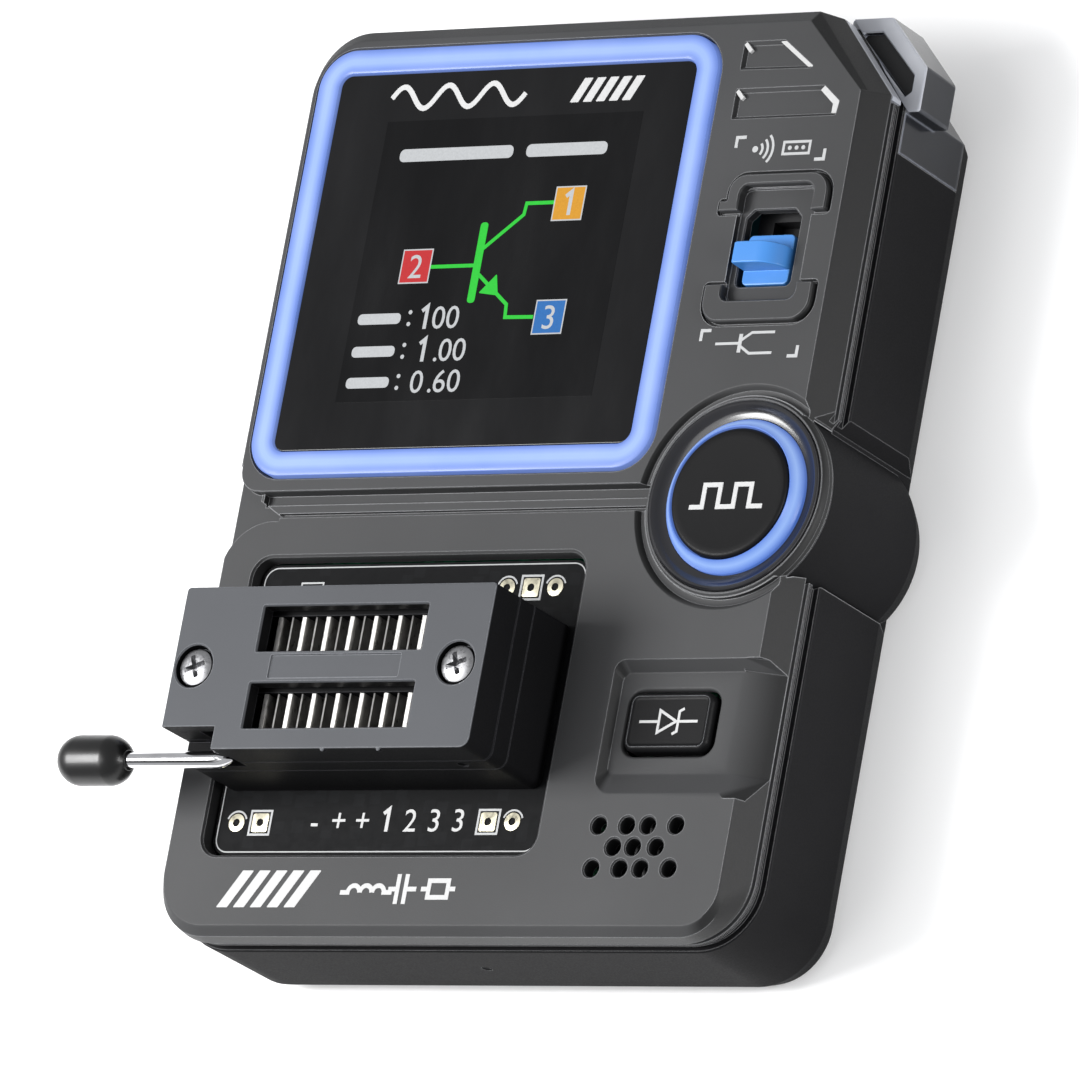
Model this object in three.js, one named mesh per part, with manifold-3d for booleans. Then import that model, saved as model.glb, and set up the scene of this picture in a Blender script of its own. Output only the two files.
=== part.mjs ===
// Hand-held component tester lying on its back: two case shells, a colour screen in a lit
// frame, a TEST push button in a round side boss, a second push button, a slide switch, an
// infrared window on the cut corner and a zero-insertion-force socket with a cam lever.
//
// Millimetres. +X across the case, +Y towards the screen end, +Z out of the screen.
// The origin is the middle of the back, which lies on Z = 0.

import * as THREE from 'three';
import { mergeVertices } from 'three/addons/utils/BufferGeometryUtils.js';
import Module from 'manifold-3d';

const wasm = await Module();
wasm.setup();

// ---------------------------------------------------------------- driving dimensions

const GAP = 0.3;                  // air between separate pieces that touch in use

// case
const CASE = { left: -30.75, right: 30.75, bottom: -42.1, top: 42.1 };
const WALL = 1.5;
const FACE_Z = 17;                // front face
const BACK_CHAMFER = 0.9;
const BACK_CHAMFER_TOP = 2.3;
const PARTING_Z = 13.1;           // where the two shells meet
const SEAM = { low: 11.9, high: 14.35, inset: 0.5 };
const SHELL_TOP = FACE_Z - 1.6;   // underside of the front panel
const CORNER_R = 6;
const CUT_X = 6.3;                // cut corner, measured back from the case corner
const CUT_Y = 7.3;
const CUT_SLIDE = { x: 0.35, y: 0.35 };       // how far an inset moves the ends of the cut
const FACE_CUT_SLIDE = { x: 1.3, y: 0.38 };   // the same at the front face
const ROUND_STEPS = 5;            // straight pieces in a quarter round

// prow of the infrared window, which stands out of the cut corner
const PROW = { right: 32.3, top: 43.0, low: 7.0, high: 12.2 };

// round side boss around the TEST button
const BOSS = { x: 23.8, y: -2.7, r: 9.2 };
const BOSS_TOP = FACE_Z - 1.3;
const BOSS_CHAMFER = { inset: 1.0, top: 2.2 };
const BOSS_SIDES = 48;
const COLLAR_INNER = 8.7;
const COLLAR_TOP = FACE_Z + 0.2;
const COLLAR_GROOVE = { width: 1.1, depth: 0.5 };
const TEST_CAP = { r: 5.95, top: FACE_Z + 1.1 };
const TEST_RING = { inner: 6.25, outer: 7.05, top: FACE_Z };

// screen
const FRAME = { left: -28.65, right: 14.15, bottom: 0.05, top: 40.15, r: 3.6 };
const FRAME_BAND = 2.3;
const LENS_TOP = FACE_Z + 0.05;
const LENS_THICK = 1.2;
const LCD = { left: -23.6, right: 8.4, bottom: 4.2, top: 36.2 };
const LCD_THICK = 2.4;

// boards
const BOARD_TOP = 11.0;
const BOARD_THICK = 1.6;
const BOARD_BOTTOM = BOARD_TOP - BOARD_THICK;
const RECESS = { left: -25.85, right: 9.45, bottom: -34.8, top: -7.5, r: 1.8 };
const SOCKET_BOARD_TOP = FACE_Z - 1.2;

// groove between the screen block and the socket panel
const GROOVE = { low: -3.7, ledge: -2.4, high: -1.3, depth: 0.8 };

// slide switch
const SWITCH_HOLE = { left: 19.6, right: 25.0, bottom: 16.6, top: 23.5 };
const KNOB_LENGTH = 4.6;

// second push button and its recess, open to the case side
const KEY = { left: 16.35, right: 25.05, bottom: -25.45, top: -20.15, r: 1.0 };
const KEY_TOP = FACE_Z - 0.45;
const KEY_FLANGE = 0.7;
const KEY_RECESS = { left: 15.1, bottom: -27.3, top: -18.3, depth: 1.0, right: 27.4 };
const KEY_RAMP = 2.2;             // length of the ramp below the recess

// sound holes
const HOLE_R = 0.78;
const SOUND = { x: 15.8, y: -32.27, step: 1.93 };
const SOUND_OUTER = [0, 2.9, 5.05, 7.95];
const SOUND_MIDDLE = [1.85, 3.9, 6.25];

// socket
const ZIF = { left: -24.5, right: 8.3, bottom: -28.65, top: -13.8 };
const ZIF_TOP = 27.5;
const ZIF_SPLIT = 23.8;
const ZIF_MID_Y = -21.05;
const PITCH = 2.54;
const CONTACTS = 7;
const CONTACT_X = -7.15;          // middle contact
const ROW_Y = [-17.7, -24.7];
const SLOT_HALF = { x: 8.8, y: 2.15 };
const ZIF_SCREW_X = [-22.25, 5.47];
const PIVOT = { x: -19.85, z: 24.4 };
const LEVER_Y = -28.6;
const LEVER_R = 0.78;
const LEVER_END = -34.85;
const LEVER_KNOB = { x: -33.15, r: 2.25, length: 7.6 };
const SLIDER = { left: -17.9, right: 2.6, bottom: -27.3, top: -15.2, thick: 1.3 };
const SLIDER_ROOM = 1.2;          // extra length of its windows, on the left

// infrared window, charging port and pin hole
const WINDOW = { y: 30.4, x: 18.5, low: 2.2, high: SEAM.low - 0.1 };
const USB = { left: -6.7, right: 2.3, bottom: 33.4, top: 40.9, low: 5.6, wall: 0.4 };
const PIN_HOLE = { x: -0.25, z: 7.2, r: 0.4, depth: 0.9 };

// case screws: their places, and the radius of the shank and of the posts around it
const SCREWS = [[-26.0, -3.9], [-26.0, -37.1], [25.9, -37.1], [17.4, 36.2]];
const SCREW_R = 1.0;
const POST_R = 2.2;

// ---------------------------------------------------------------- materials

function finish(color, roughness, metalness = 0) {
  return new THREE.MeshStandardMaterial({ color, roughness, metalness });
}

const MATERIALS = {
  shell: finish(0x3c3e42, 0.62),
  shellBack: finish(0x222327, 0.6),
  glow: finish(0x7fa9f5, 0.35),
  lens: finish(0x08090b, 0.08),
  black: finish(0x141517, 0.45),
  board: finish(0x15181a, 0.5),
  mainBoard: finish(0x1c4a33, 0.5),
  blue: finish(0x3f8fd8, 0.45),
  smoke: finish(0x3b3d47, 0.2),
  zifCover: finish(0x53565c, 0.55),
  zifBase: finish(0x1b1c1f, 0.5),
  steel: finish(0xc9ccd0, 0.25, 1),
  gold: finish(0xc9b27c, 0.35, 1),
  foil: finish(0x9fa3a8, 0.4, 0.6),
};

// ---------------------------------------------------------------- solids

function toSolid(geometry) {
  const bare = geometry.index ? geometry.toNonIndexed() : geometry.clone();
  bare.deleteAttribute('normal');
  bare.deleteAttribute('uv');
  const merged = mergeVertices(bare, 1e-4);
  return new wasm.Manifold(new wasm.Mesh({
    numProp: 3,
    vertProperties: new Float32Array(merged.attributes.position.array),
    triVerts: new Uint32Array(merged.index.array),
  }));
}

function toGeometry(solid) {
  const mesh = solid.getMesh();
  const geometry = new THREE.BufferGeometry();
  geometry.setAttribute('position', new THREE.BufferAttribute(mesh.vertProperties, 3));
  geometry.setIndex(new THREE.BufferAttribute(mesh.triVerts, 1));
  geometry.computeVertexNormals();
  return geometry;
}

function union(solids) {
  return solids.reduce((sum, solid) => sum.add(solid));
}

// Points of a closed outline, each corner rounded by its own radius.
function roundedPoints(corners, steps = ROUND_STEPS) {
  const points = [];
  corners.forEach(([x, y, r = 0], i) => {
    const corner = new THREE.Vector2(x, y);
    const before = corners[(i + corners.length - 1) % corners.length];
    const after = corners[(i + 1) % corners.length];
    const back = new THREE.Vector2(before[0], before[1]).sub(corner).normalize();
    const ahead = new THREE.Vector2(after[0], after[1]).sub(corner).normalize();
    if (r === 0) {
      points.push(corner);
      return;
    }
    const half = Math.acos(THREE.MathUtils.clamp(back.dot(ahead), -1, 1)) / 2;
    const reach = r / Math.tan(half);
    const start = corner.clone().addScaledVector(back, reach);
    const end = corner.clone().addScaledVector(ahead, reach);
    const middle = back.clone().add(ahead).normalize();
    const centre = corner.clone().addScaledVector(middle, r / Math.sin(half));
    const from = Math.atan2(start.y - centre.y, start.x - centre.x);
    let sweep = Math.atan2(end.y - centre.y, end.x - centre.x) - from;
    sweep = Math.atan2(Math.sin(sweep), Math.cos(sweep));
    for (let k = 0; k <= steps; k++) {
      const angle = from + sweep * k / steps;
      points.push(new THREE.Vector2(
        centre.x + r * Math.cos(angle),
        centre.y + r * Math.sin(angle),
      ));
    }
  });
  return points;
}

// Upright prism of a closed outline between two heights.
function prism(corners, low, high, steps) {
  const shape = new THREE.Shape(roundedPoints(corners, steps));
  const geometry = new THREE.ExtrudeGeometry(shape, { depth: high - low, bevelEnabled: false });
  geometry.translate(0, 0, low);
  return toSolid(geometry);
}

function rectCorners({ left, right, bottom, top, r = 0 }, grow = 0) {
  const round = r > 0 ? Math.max(r + grow, 0.1) : 0;
  return [
    [left - grow, bottom - grow, round],
    [right + grow, bottom - grow, round],
    [right + grow, top + grow, round],
    [left - grow, top + grow, round],
  ];
}

function block(rect, low, high, grow = 0, steps = ROUND_STEPS) {
  return prism(rectCorners(rect, grow), low, high, steps);
}

// Box given by its middle and its size.
function box(x, y, low, width, depth, high) {
  const [halfX, halfY] = [width / 2, depth / 2];
  return block({ left: x - halfX, right: x + halfX, bottom: y - halfY, top: y + halfY }, low, high);
}

// Upright turned solid; the profile is a list of radius and height.
function turned(x, y, profile, sides = 24) {
  const points = profile.map(([r, z]) => new THREE.Vector2(r, z));
  const geometry = new THREE.LatheGeometry(points, sides);
  geometry.rotateX(Math.PI / 2);
  geometry.translate(x, y, 0);
  return toSolid(geometry);
}

function disc(x, y, r, low, high, sides = 24) {
  return turned(x, y, [[0, low], [r, low], [r, high], [0, high]], sides);
}

function ring(x, y, inner, outer, low, high, sides = 32) {
  return disc(x, y, outer, low, high, sides).subtract(disc(x, y, inner, low - 1, high + 1, sides));
}

// Solid skinned over outlines at rising heights; every outline has the same number of points.
function loft(levels) {
  const rings = levels.map(({ z, corners }) => roundedPoints(corners).map((p) => [p.x, p.y, z]));
  const count = rings[0].length;
  const positions = rings.flat(2);
  const index = [];
  for (let level = 0; level < rings.length - 1; level++) {
    for (let i = 0; i < count; i++) {
      const j = (i + 1) % count;
      const a = level * count + i;
      const b = level * count + j;
      index.push(a, b, b + count, a, b + count, a + count);
    }
  }
  const cap = (level) => THREE.ShapeUtils.triangulateShape(
    rings[level].map(([x, y]) => new THREE.Vector2(x, y)), []);
  cap(0).forEach(([a, b, c]) => index.push(a, c, b));
  const last = (rings.length - 1) * count;
  cap(rings.length - 1).forEach(([a, b, c]) => index.push(last + a, last + b, last + c));
  const geometry = new THREE.BufferGeometry();
  geometry.setAttribute('position', new THREE.Float32BufferAttribute(positions, 3));
  geometry.setIndex(index);
  return toSolid(geometry);
}

// ---------------------------------------------------------------- case outline

// The case outline drawn in by one amount on each side, with the cut corner at upper right.
function caseCorners(inset, radius, slide = CUT_SLIDE) {
  const [left, right, bottom, top] = inset;
  const cut = (right + top) / 2;
  return [
    [CASE.left + left, CASE.bottom + bottom, radius],
    [CASE.right - right, CASE.bottom + bottom, radius],
    [CASE.right - right, CASE.top - CUT_Y - cut * slide.y, 0],
    [CASE.right - CUT_X - cut * slide.x, CASE.top - top, 0],
    [CASE.left + left, CASE.top - top, radius],
  ];
}

function evenCase(inset, radius = CORNER_R - inset) {
  return caseCorners([inset, inset, inset, inset], Math.max(radius, 1));
}

function frontOuter() {
  return loft([
    { z: PARTING_Z + GAP / 2, corners: evenCase(SEAM.inset) },
    { z: SEAM.high - 0.1, corners: evenCase(SEAM.inset) },
    { z: SEAM.high, corners: evenCase(0) },
    { z: FACE_Z - 0.7, corners: caseCorners([1.0, 1.05, 0, 0.75], 5.2, FACE_CUT_SLIDE) },
    { z: FACE_Z, corners: caseCorners([1.4, 1.45, 0.87, 1.15], 4.2, FACE_CUT_SLIDE) },
  ]);
}

function rearOuter() {
  return loft([
    { z: 0, corners: evenCase(BACK_CHAMFER) },
    { z: BACK_CHAMFER_TOP, corners: evenCase(0) },
    { z: SEAM.low, corners: evenCase(0) },
    { z: SEAM.low + 0.1, corners: evenCase(SEAM.inset) },
    { z: PARTING_Z - GAP / 2, corners: evenCase(SEAM.inset) },
  ]);
}

// ---------------------------------------------------------------- front cover

function grooveCut() {
  const right = BOSS.x;
  const wide = { left: CASE.left - 1, right, bottom: GROOVE.ledge, top: GROOVE.high };
  const narrow = { left: CASE.left - 1, right, bottom: GROOVE.low, top: GROOVE.low + 0.45 };
  const bottom = FACE_Z - GROOVE.depth;
  return union([
    block(wide, bottom, FACE_Z + 1),
    block(narrow, bottom + 0.3, FACE_Z + 1),
  ]);
}

// Bay around the second button; its floor slopes down to the seam at the case side.
function keyRecessCut() {
  const floor = FACE_Z - KEY_RECESS.depth;
  const reach = CASE.right + 5;
  const drop = floor - SEAM.high;
  const run = CASE.right - KEY_RECESS.right;
  const slope = new THREE.Shape([
    new THREE.Vector2(KEY_RECESS.right, floor),
    new THREE.Vector2(KEY_RECESS.right + 2 * run, floor - 2 * drop),
    new THREE.Vector2(KEY_RECESS.right + 2 * run, FACE_Z + 1),
    new THREE.Vector2(KEY_RECESS.right, FACE_Z + 1),
  ]);
  const length = KEY_RECESS.top - KEY_RECESS.bottom;
  const side = new THREE.ExtrudeGeometry(slope, { depth: length, bevelEnabled: false });
  side.rotateX(Math.PI / 2);
  side.translate(0, KEY_RECESS.top, 0);
  const low = [
    [KEY_RECESS.left, KEY_RECESS.bottom, 0.8],
    [reach, KEY_RECESS.bottom, 0],
    [reach, KEY_RECESS.top, 0],
    [KEY_RECESS.left, KEY_RECESS.top, 0.8],
  ];
  const high = [
    [KEY_RECESS.left - 0.5, KEY_RECESS.bottom - KEY_RAMP, 1.6],
    [reach, KEY_RECESS.bottom - KEY_RAMP, 0],
    [reach, KEY_RECESS.top + 0.9, 0],
    [KEY_RECESS.left - 0.5, KEY_RECESS.top + 0.9, 0.8],
  ];
  return loft([{ z: floor, corners: low }, { z: FACE_Z + 0.4, corners: high }]).add(toSolid(side));
}

function soundHoles() {
  const holes = [];
  const drill = (x, y) => holes.push(disc(x, y, HOLE_R, SHELL_TOP - 1, FACE_Z + 1, 8));
  for (const row of [0, 2]) {
    SOUND_OUTER.forEach((x) => drill(SOUND.x + x, SOUND.y - row * SOUND.step));
  }
  SOUND_MIDDLE.forEach((x) => drill(SOUND.x + x, SOUND.y - SOUND.step));
  return union(holes);
}

// Two shallow engraved bars with slanted right ends above the switch.
function ornamentCut() {
  const floor = FACE_Z - 0.35;
  const upper = [[16.3, 36.7], [24.1, 36.5], [20.5, 39.3], [16.3, 39.3]];
  const lower = [[16.3, 32.1], [27.1, 32.1], [27.25, 33.4], [25.45, 34.9], [16.3, 34.9]];
  return union([prism(upper, floor, FACE_Z + 1), prism(lower, floor, FACE_Z + 1)]);
}

// Raised rims that bracket the switch above and below.
function switchRims() {
  const outer = { left: 18.3, right: 26.9, bottom: 13.4, top: 27.0, r: 1.6 };
  const inner = { left: 19.3, right: 25.9, bottom: 14.5, top: 25.9, r: 0.9 };
  const opening = { left: 10, right: 40, bottom: 17.2, top: 23.3 };
  const top = FACE_Z + 0.45;
  return block(outer, FACE_Z - 0.5, top, 0, 3)
    .subtract(block(inner, FACE_Z - 1, top + 1, 0, 3))
    .subtract(block(opening, FACE_Z - 1, top + 1));
}

function frontPosts() {
  return SCREWS.map(([x, y]) => disc(x, y, POST_R, BOARD_TOP + GAP, SHELL_TOP + 0.5, 16)
    .subtract(disc(x, y, SCREW_R + 0.2, BOARD_TOP - 1, SHELL_TOP - 0.3, 12)));
}

function frontCover() {
  const hollow = loft([
    { z: PARTING_Z - 1, corners: evenCase(SEAM.inset + WALL) },
    { z: SEAM.high, corners: evenCase(SEAM.inset + WALL) },
    { z: SHELL_TOP, corners: caseCorners([2.6, 2.6, 2.0, 2.2], 3.4) },
  ]);
  const bossDisc = (r, low, high) => disc(BOSS.x, BOSS.y, r, low, high, BOSS_SIDES);
  const shell = frontOuter().subtract(hollow)
    .subtract(bossDisc(BOSS.r + GAP, PARTING_Z - 1, BOSS_TOP + GAP))
    .add(bossDisc(BOSS.r, BOSS_TOP + GAP, COLLAR_TOP));
  const grooveOuter = bossDisc(BOSS.r + COLLAR_GROOVE.width, FACE_Z - COLLAR_GROOVE.depth, FACE_Z + 1);
  const cuts = union([
    block(FRAME, SHELL_TOP - 1, FACE_Z + 1, GAP),
    block(RECESS, SHELL_TOP - 1, FACE_Z + 1),
    grooveCut().add(grooveOuter).subtract(bossDisc(BOSS.r, FACE_Z - 3, FACE_Z + 2)),
    bossDisc(COLLAR_INNER, FACE_Z - 0.6, FACE_Z + 1),
    bossDisc(TEST_RING.outer + GAP, SHELL_TOP - 1, FACE_Z + 1),
    block(SWITCH_HOLE, SHELL_TOP - 1, FACE_Z + 1),
    keyRecessCut(),
    block(KEY, SHELL_TOP - 1, FACE_Z + 1, GAP, 3),
    soundHoles(),
    ornamentCut(),
  ]);
  const rims = switchRims().subtract(block(SWITCH_HOLE, SHELL_TOP - 1, FACE_Z + 1));
  return union([shell, ...frontPosts()]).subtract(cuts).add(rims);
}

// ---------------------------------------------------------------- rear cover

// Corner taken by the infrared window, given by how far it stands off the window itself.
function windowRegion(grow) {
  const edge = CASE.right - WALL - grow;
  const end = CASE.top - WALL - grow;
  const base = [
    [CASE.right + 2, WINDOW.y - grow, 0],
    [CASE.right + 2, CASE.top + 2, 0],
    [WINDOW.x - grow, CASE.top + 2, 0],
    [WINDOW.x - grow, end, 0],
    [CASE.right - CUT_X - 0.8 - grow, end, 0],
    [edge, CASE.top - CUT_Y - 0.8 - grow, 0],
    [edge, WINDOW.y - grow, 0],
  ];
  return prism(base, WINDOW.low - grow, WINDOW.high + grow);
}

function bossWall() {
  const profile = turned(BOSS.x, BOSS.y, [
    [0, 0],
    [BOSS.r - BOSS_CHAMFER.inset, 0],
    [BOSS.r, BOSS_CHAMFER.top],
    [BOSS.r, BOSS_TOP],
    [0, BOSS_TOP],
  ], BOSS_SIDES);
  const inside = disc(BOSS.x, BOSS.y, BOSS.r - WALL, WALL + 0.3, BOSS_TOP + 1, BOSS_SIDES);
  const keep = { left: 28.8, right: 40, bottom: -14, top: 9 };
  return profile.subtract(inside).intersect(block(keep, -1, BOSS_TOP + 1));
}

function rearCover() {
  const hollow = loft([
    { z: WALL, corners: evenCase(WALL + 0.4) },
    { z: BACK_CHAMFER_TOP + 1, corners: evenCase(WALL) },
    { z: SEAM.low, corners: evenCase(WALL) },
    { z: SEAM.low + 0.5, corners: evenCase(SEAM.inset + WALL) },
    { z: PARTING_Z + 1, corners: evenCase(SEAM.inset + WALL) },
  ]);
  const bossSpace = disc(BOSS.x, BOSS.y, BOSS.r - WALL, WALL + 0.3, PARTING_Z + 1, BOSS_SIDES);
  const posts = SCREWS.map(([x, y]) => disc(x, y, POST_R, WALL - 0.5, BOARD_BOTTOM - GAP, 16));
  const drills = SCREWS.flatMap(([x, y]) => [
    disc(x, y, SCREW_R + 0.2, -1, PARTING_Z, 12),
    disc(x, y, 2.0, -1, 1.7, 16),
  ]);
  const pads = SCREWS.map(([x, y]) => disc(x, y, POST_R + 0.6, 0.2, 3.2, 16));
  const room = 0.4;
  const usbMouth = { left: USB.left - room, right: USB.right + room, bottom: 38, top: 44 };
  const usbHole = block(usbMouth, USB.low - room, BOARD_BOTTOM - 0.1);
  const pinEnd = CASE.bottom + PIN_HOLE.depth;
  const pinHole = barAlong('y', PIN_HOLE.r, CASE.bottom - 1, pinEnd, PIN_HOLE.x, 0, PIN_HOLE.z);
  return union([rearOuter().subtract(hollow), bossWall(), ...posts, ...pads])
    .subtract(union([bossSpace, ...drills, usbHole, pinHole, windowRegion(GAP)]));
}

// ---------------------------------------------------------------- infrared window

// Smoky corner piece: a strip along both walls and the cut corner, with a raised prow.
function irWindow() {
  const strip = windowRegion(0).intersect(prism(evenCase(0), WINDOW.low, WINDOW.high));
  const prow = [
    [23.6, 41.0, 0],
    [23.6, PROW.top, 0.3],
    [27.9, PROW.top, 0.5],
    [PROW.right, 38.2, 0.8],
    [PROW.right, 34.1, 0.3],
    [29.4, 34.1, 0],
  ];
  const insideCut = [
    [CASE.right + 1.45, CASE.top - CUT_Y - 1.68, 0],
    [CASE.right - CUT_X - 1.45, CASE.top + 1.68, 0],
    [10, 30, 0],
  ];
  const hex = [
    [25.4, 41.5, 0],
    [27.1, 41.5, 0],
    [31.1, 37.4, 0],
    [31.1, 35.9, 0],
    [30.6, 35.5, 0],
  ];
  return prism(prow, PROW.low, PROW.high, 2)
    .subtract(prism(insideCut, WINDOW.high, PROW.high + 1))
    .add(strip)
    .subtract(prism(hex, PROW.high - 0.5, PROW.high + 1));
}

// ---------------------------------------------------------------- screen and lights

function lightFrame() {
  const inner = rectCorners(FRAME, -FRAME_BAND);
  return block(FRAME, SHELL_TOP, FACE_Z + 0.3).subtract(prism(inner, SHELL_TOP - 1, FACE_Z + 2));
}

function screenLens() {
  return block(FRAME, LENS_TOP - LENS_THICK, LENS_TOP, -FRAME_BAND - GAP);
}

function lcdModule() {
  const top = LENS_TOP - LENS_THICK - GAP;
  return block(LCD, top - LCD_THICK, top);
}

function testLightRing() {
  const { inner, outer, top } = TEST_RING;
  return ring(BOSS.x, BOSS.y, inner, outer, BOARD_TOP + GAP, top, 40);
}

function testBezel() {
  const inner = TEST_RING.outer + GAP;
  const outer = COLLAR_INNER - GAP;
  const low = FACE_Z - 0.3;
  return turned(BOSS.x, BOSS.y, [
    [inner, low],
    [outer, low],
    [outer, FACE_Z + 0.3],
    [outer - 0.25, FACE_Z + 0.45],
    [inner + 0.35, FACE_Z + 0.3],
    [inner, FACE_Z],
    [inner, low],
  ], 40);
}

// ---------------------------------------------------------------- buttons and switches

const TACT_TOP = 13.6;            // top of a tact switch body
const PLUNGER_TOP = 14.3;

function testButtonCap() {
  const { r, top } = TEST_CAP;
  return turned(BOSS.x, BOSS.y, [
    [0, PLUNGER_TOP + GAP],
    [r, PLUNGER_TOP + GAP],
    [r, top - 0.4],
    [r - 0.12, top - 0.12],
    [r - 0.4, top],
    [0, top],
  ], 40);
}

function zenerButton() {
  const flange = block(KEY, PLUNGER_TOP + GAP, SHELL_TOP - GAP, KEY_FLANGE, 3);
  return block(KEY, PLUNGER_TOP + GAP, KEY_TOP, 0, 3).add(flange);
}

function tactBody(x, y) {
  return box(x, y, BOARD_TOP + GAP, 6, 6, TACT_TOP)
    .subtract(disc(x, y, 1.95, TACT_TOP - 1.4, TACT_TOP + 1, 16));
}

function tactPlunger(x, y) {
  return disc(x, y, 1.65, TACT_TOP - 0.8, PLUNGER_TOP, 16);
}

function slideSwitchBody() {
  const x = (SWITCH_HOLE.left + SWITCH_HOLE.right) / 2;
  const y = (SWITCH_HOLE.bottom + SWITCH_HOLE.top) / 2;
  const slot = { left: x - 1.6, right: x + 1.6, bottom: SWITCH_HOLE.bottom, top: SWITCH_HOLE.top };
  return box(x, y, BOARD_TOP + GAP, 6.4, 9.4, 14.0).subtract(block(slot, 12.4, 15));
}

// Thumb piece: a tongue in the switch, a shoe under the panel, a block and a raised ridge.
function switchKnob() {
  const left = SWITCH_HOLE.left + GAP;
  const right = SWITCH_HOLE.right - GAP;
  const bottom = SWITCH_HOLE.bottom + GAP;
  const top = bottom + KNOB_LENGTH;
  const middle = (left + right) / 2;
  const body = { left, right, bottom, top, r: 0.5 };
  const tongue = { left: middle - 1.2, right: middle + 1.2, bottom: bottom + 0.4, top: top - 0.4 };
  const ridge = { left: left + 0.02, right: right - 0.02, bottom: bottom + 1.3, top: top - 1.3, r: 0.3 };
  return union([
    block(tongue, 12.8, 15),
    block(body, 14.3, FACE_Z - 0.7, 0, 2),
    block(ridge, FACE_Z - 1, FACE_Z + 1.5, 0, 2),
  ]);
}

// ---------------------------------------------------------------- boards and what is on them

function mainBoard() {
  const edge = { left: -28.4, right: 28.4, bottom: -39.7, top: 39.4, r: 3 };
  const outline = block(edge, BOARD_BOTTOM, BOARD_TOP);
  const corner = prism([[18.5, 42], [32, 26.5], [32, 42]], 0, 20);
  const holes = SCREWS.map(([x, y]) => disc(x, y, SCREW_R + 0.3, 0, 20, 12));
  return outline.subtract(union([corner, ...holes]));
}

function socketBoard() {
  return block(RECESS, SOCKET_BOARD_TOP - 1.6, SOCKET_BOARD_TOP, -GAP);
}

function boardHeader() {
  return box(-7.15, -32.2, BOARD_TOP + GAP, 20, 2.4, SOCKET_BOARD_TOP - 1.6 - GAP);
}

function buzzer() {
  return disc(19.6, -34.2, 4.5, BOARD_TOP + GAP, SHELL_TOP - 0.6, 24)
    .subtract(disc(19.6, -34.2, 1.0, SHELL_TOP - 1.4, SHELL_TOP, 8));
}

function irReceiver() {
  const geometry = new THREE.BoxGeometry(5.4, 3.2, 5.6);
  const dome = new THREE.CylinderGeometry(1.7, 1.7, 1.6, 16);
  dome.translate(0, 2.2, 0);
  const solid = toSolid(geometry).add(toSolid(dome));
  return solid.rotate([0, 0, -49]).translate([23.6, 34.2, BOARD_BOTTOM - GAP - 2.9]);
}

function battery() {
  return block({ left: -22.4, right: 7.6, bottom: -30, top: 20, r: 1.5 }, WALL + GAP, 6.0, 0, 2);
}

function processorChip() {
  return box(-2, 27, BOARD_BOTTOM - GAP - 1.4, 7, 7, BOARD_BOTTOM - GAP);
}

function boostInductor() {
  return box(14, 8, BOARD_BOTTOM - GAP - 3, 5, 5, BOARD_BOTTOM - GAP);
}

function usbPort() {
  const { left, right, bottom, top, low, wall } = USB;
  const high = BOARD_BOTTOM - GAP;
  const mouth = { left: left + wall, right: right - wall, bottom: bottom + 1.8, top: top + 1 };
  return block({ left, right, bottom, top, r: 0.4 }, low, high, 0, 2)
    .subtract(block(mouth, low + wall, high - wall));
}

function caseScrew(x, y) {
  const slot = box(x, y, -0.5, 2.2, 0.45, 1.0);
  const cross = box(x, y, -0.5, 0.45, 2.2, 1.0);
  const shaft = turned(x, y, [
    [0, 0.4],
    [1.5, 0.4],
    [1.75, 0.8],
    [1.75, 1.4],
    [SCREW_R, 1.4],
    [SCREW_R, 13.6],
    [0, 13.6],
  ], 16);
  return shaft.subtract(slot).subtract(cross);
}

// ---------------------------------------------------------------- socket

// Window over one row of contacts, widened by one amount, and lengthened on the left.
function slotBlock(y, low, high, grow = 0, extra = 0) {
  return block({
    left: CONTACT_X - SLOT_HALF.x - grow - extra,
    right: CONTACT_X + SLOT_HALF.x + grow,
    bottom: y - SLOT_HALF.y - grow,
    top: y + SLOT_HALF.y + grow,
  }, low, high);
}

function leverNotch(low, high) {
  return block({ left: ZIF.left - 1, right: -18.75, bottom: ZIF.bottom - 1, top: -26.55 }, low, high);
}

function zifBase() {
  const body = block({ ...ZIF, r: 0.6 }, SOCKET_BOARD_TOP + GAP, ZIF_SPLIT - GAP / 2, 0, 2);
  const wells = ROW_Y.map((y) => slotBlock(y, 18.2, ZIF_SPLIT + 1));
  const trough = { left: PIVOT.x - 1.4, right: PIVOT.x + 1.4, bottom: ZIF.bottom + 1, top: -14.9 };
  const holes = ZIF_SCREW_X.map((x) => disc(x, ZIF_MID_Y, 1.15, 17.6, ZIF_SPLIT + 1, 12));
  return body.subtract(union([
    ...wells,
    block(trough, 22.8, ZIF_SPLIT + 1),
    leverNotch(23.2, ZIF_SPLIT + 1),
    ...holes,
  ]));
}

function zifCover() {
  const body = block({ ...ZIF, r: 0.6 }, ZIF_SPLIT + GAP / 2, ZIF_TOP, 0, 2);
  const slots = ROW_Y.map((y) => slotBlock(y, ZIF_SPLIT, ZIF_TOP + 1, -0.1));
  const pocket = { left: -21.35, right: 3.9, bottom: -27.6, top: -14.9 };
  const label = { left: -14.1, right: -0.4, bottom: -22.2, top: -20.15 };
  const screws = ZIF_SCREW_X.flatMap((x) => [
    disc(x, ZIF_MID_Y, 1.15, ZIF_SPLIT, ZIF_TOP + 1, 12),
    disc(x, ZIF_MID_Y, 1.95, ZIF_TOP - 1.3, ZIF_TOP + 1, 16),
  ]);
  return body.subtract(union([
    ...slots,
    block(pocket, ZIF_SPLIT - 1, ZIF_TOP - 1.4),
    block(label, ZIF_TOP - 0.3, ZIF_TOP + 1),
    leverNotch(ZIF_SPLIT - 1, ZIF_TOP + 1),
    ...screws,
  ]));
}

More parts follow.
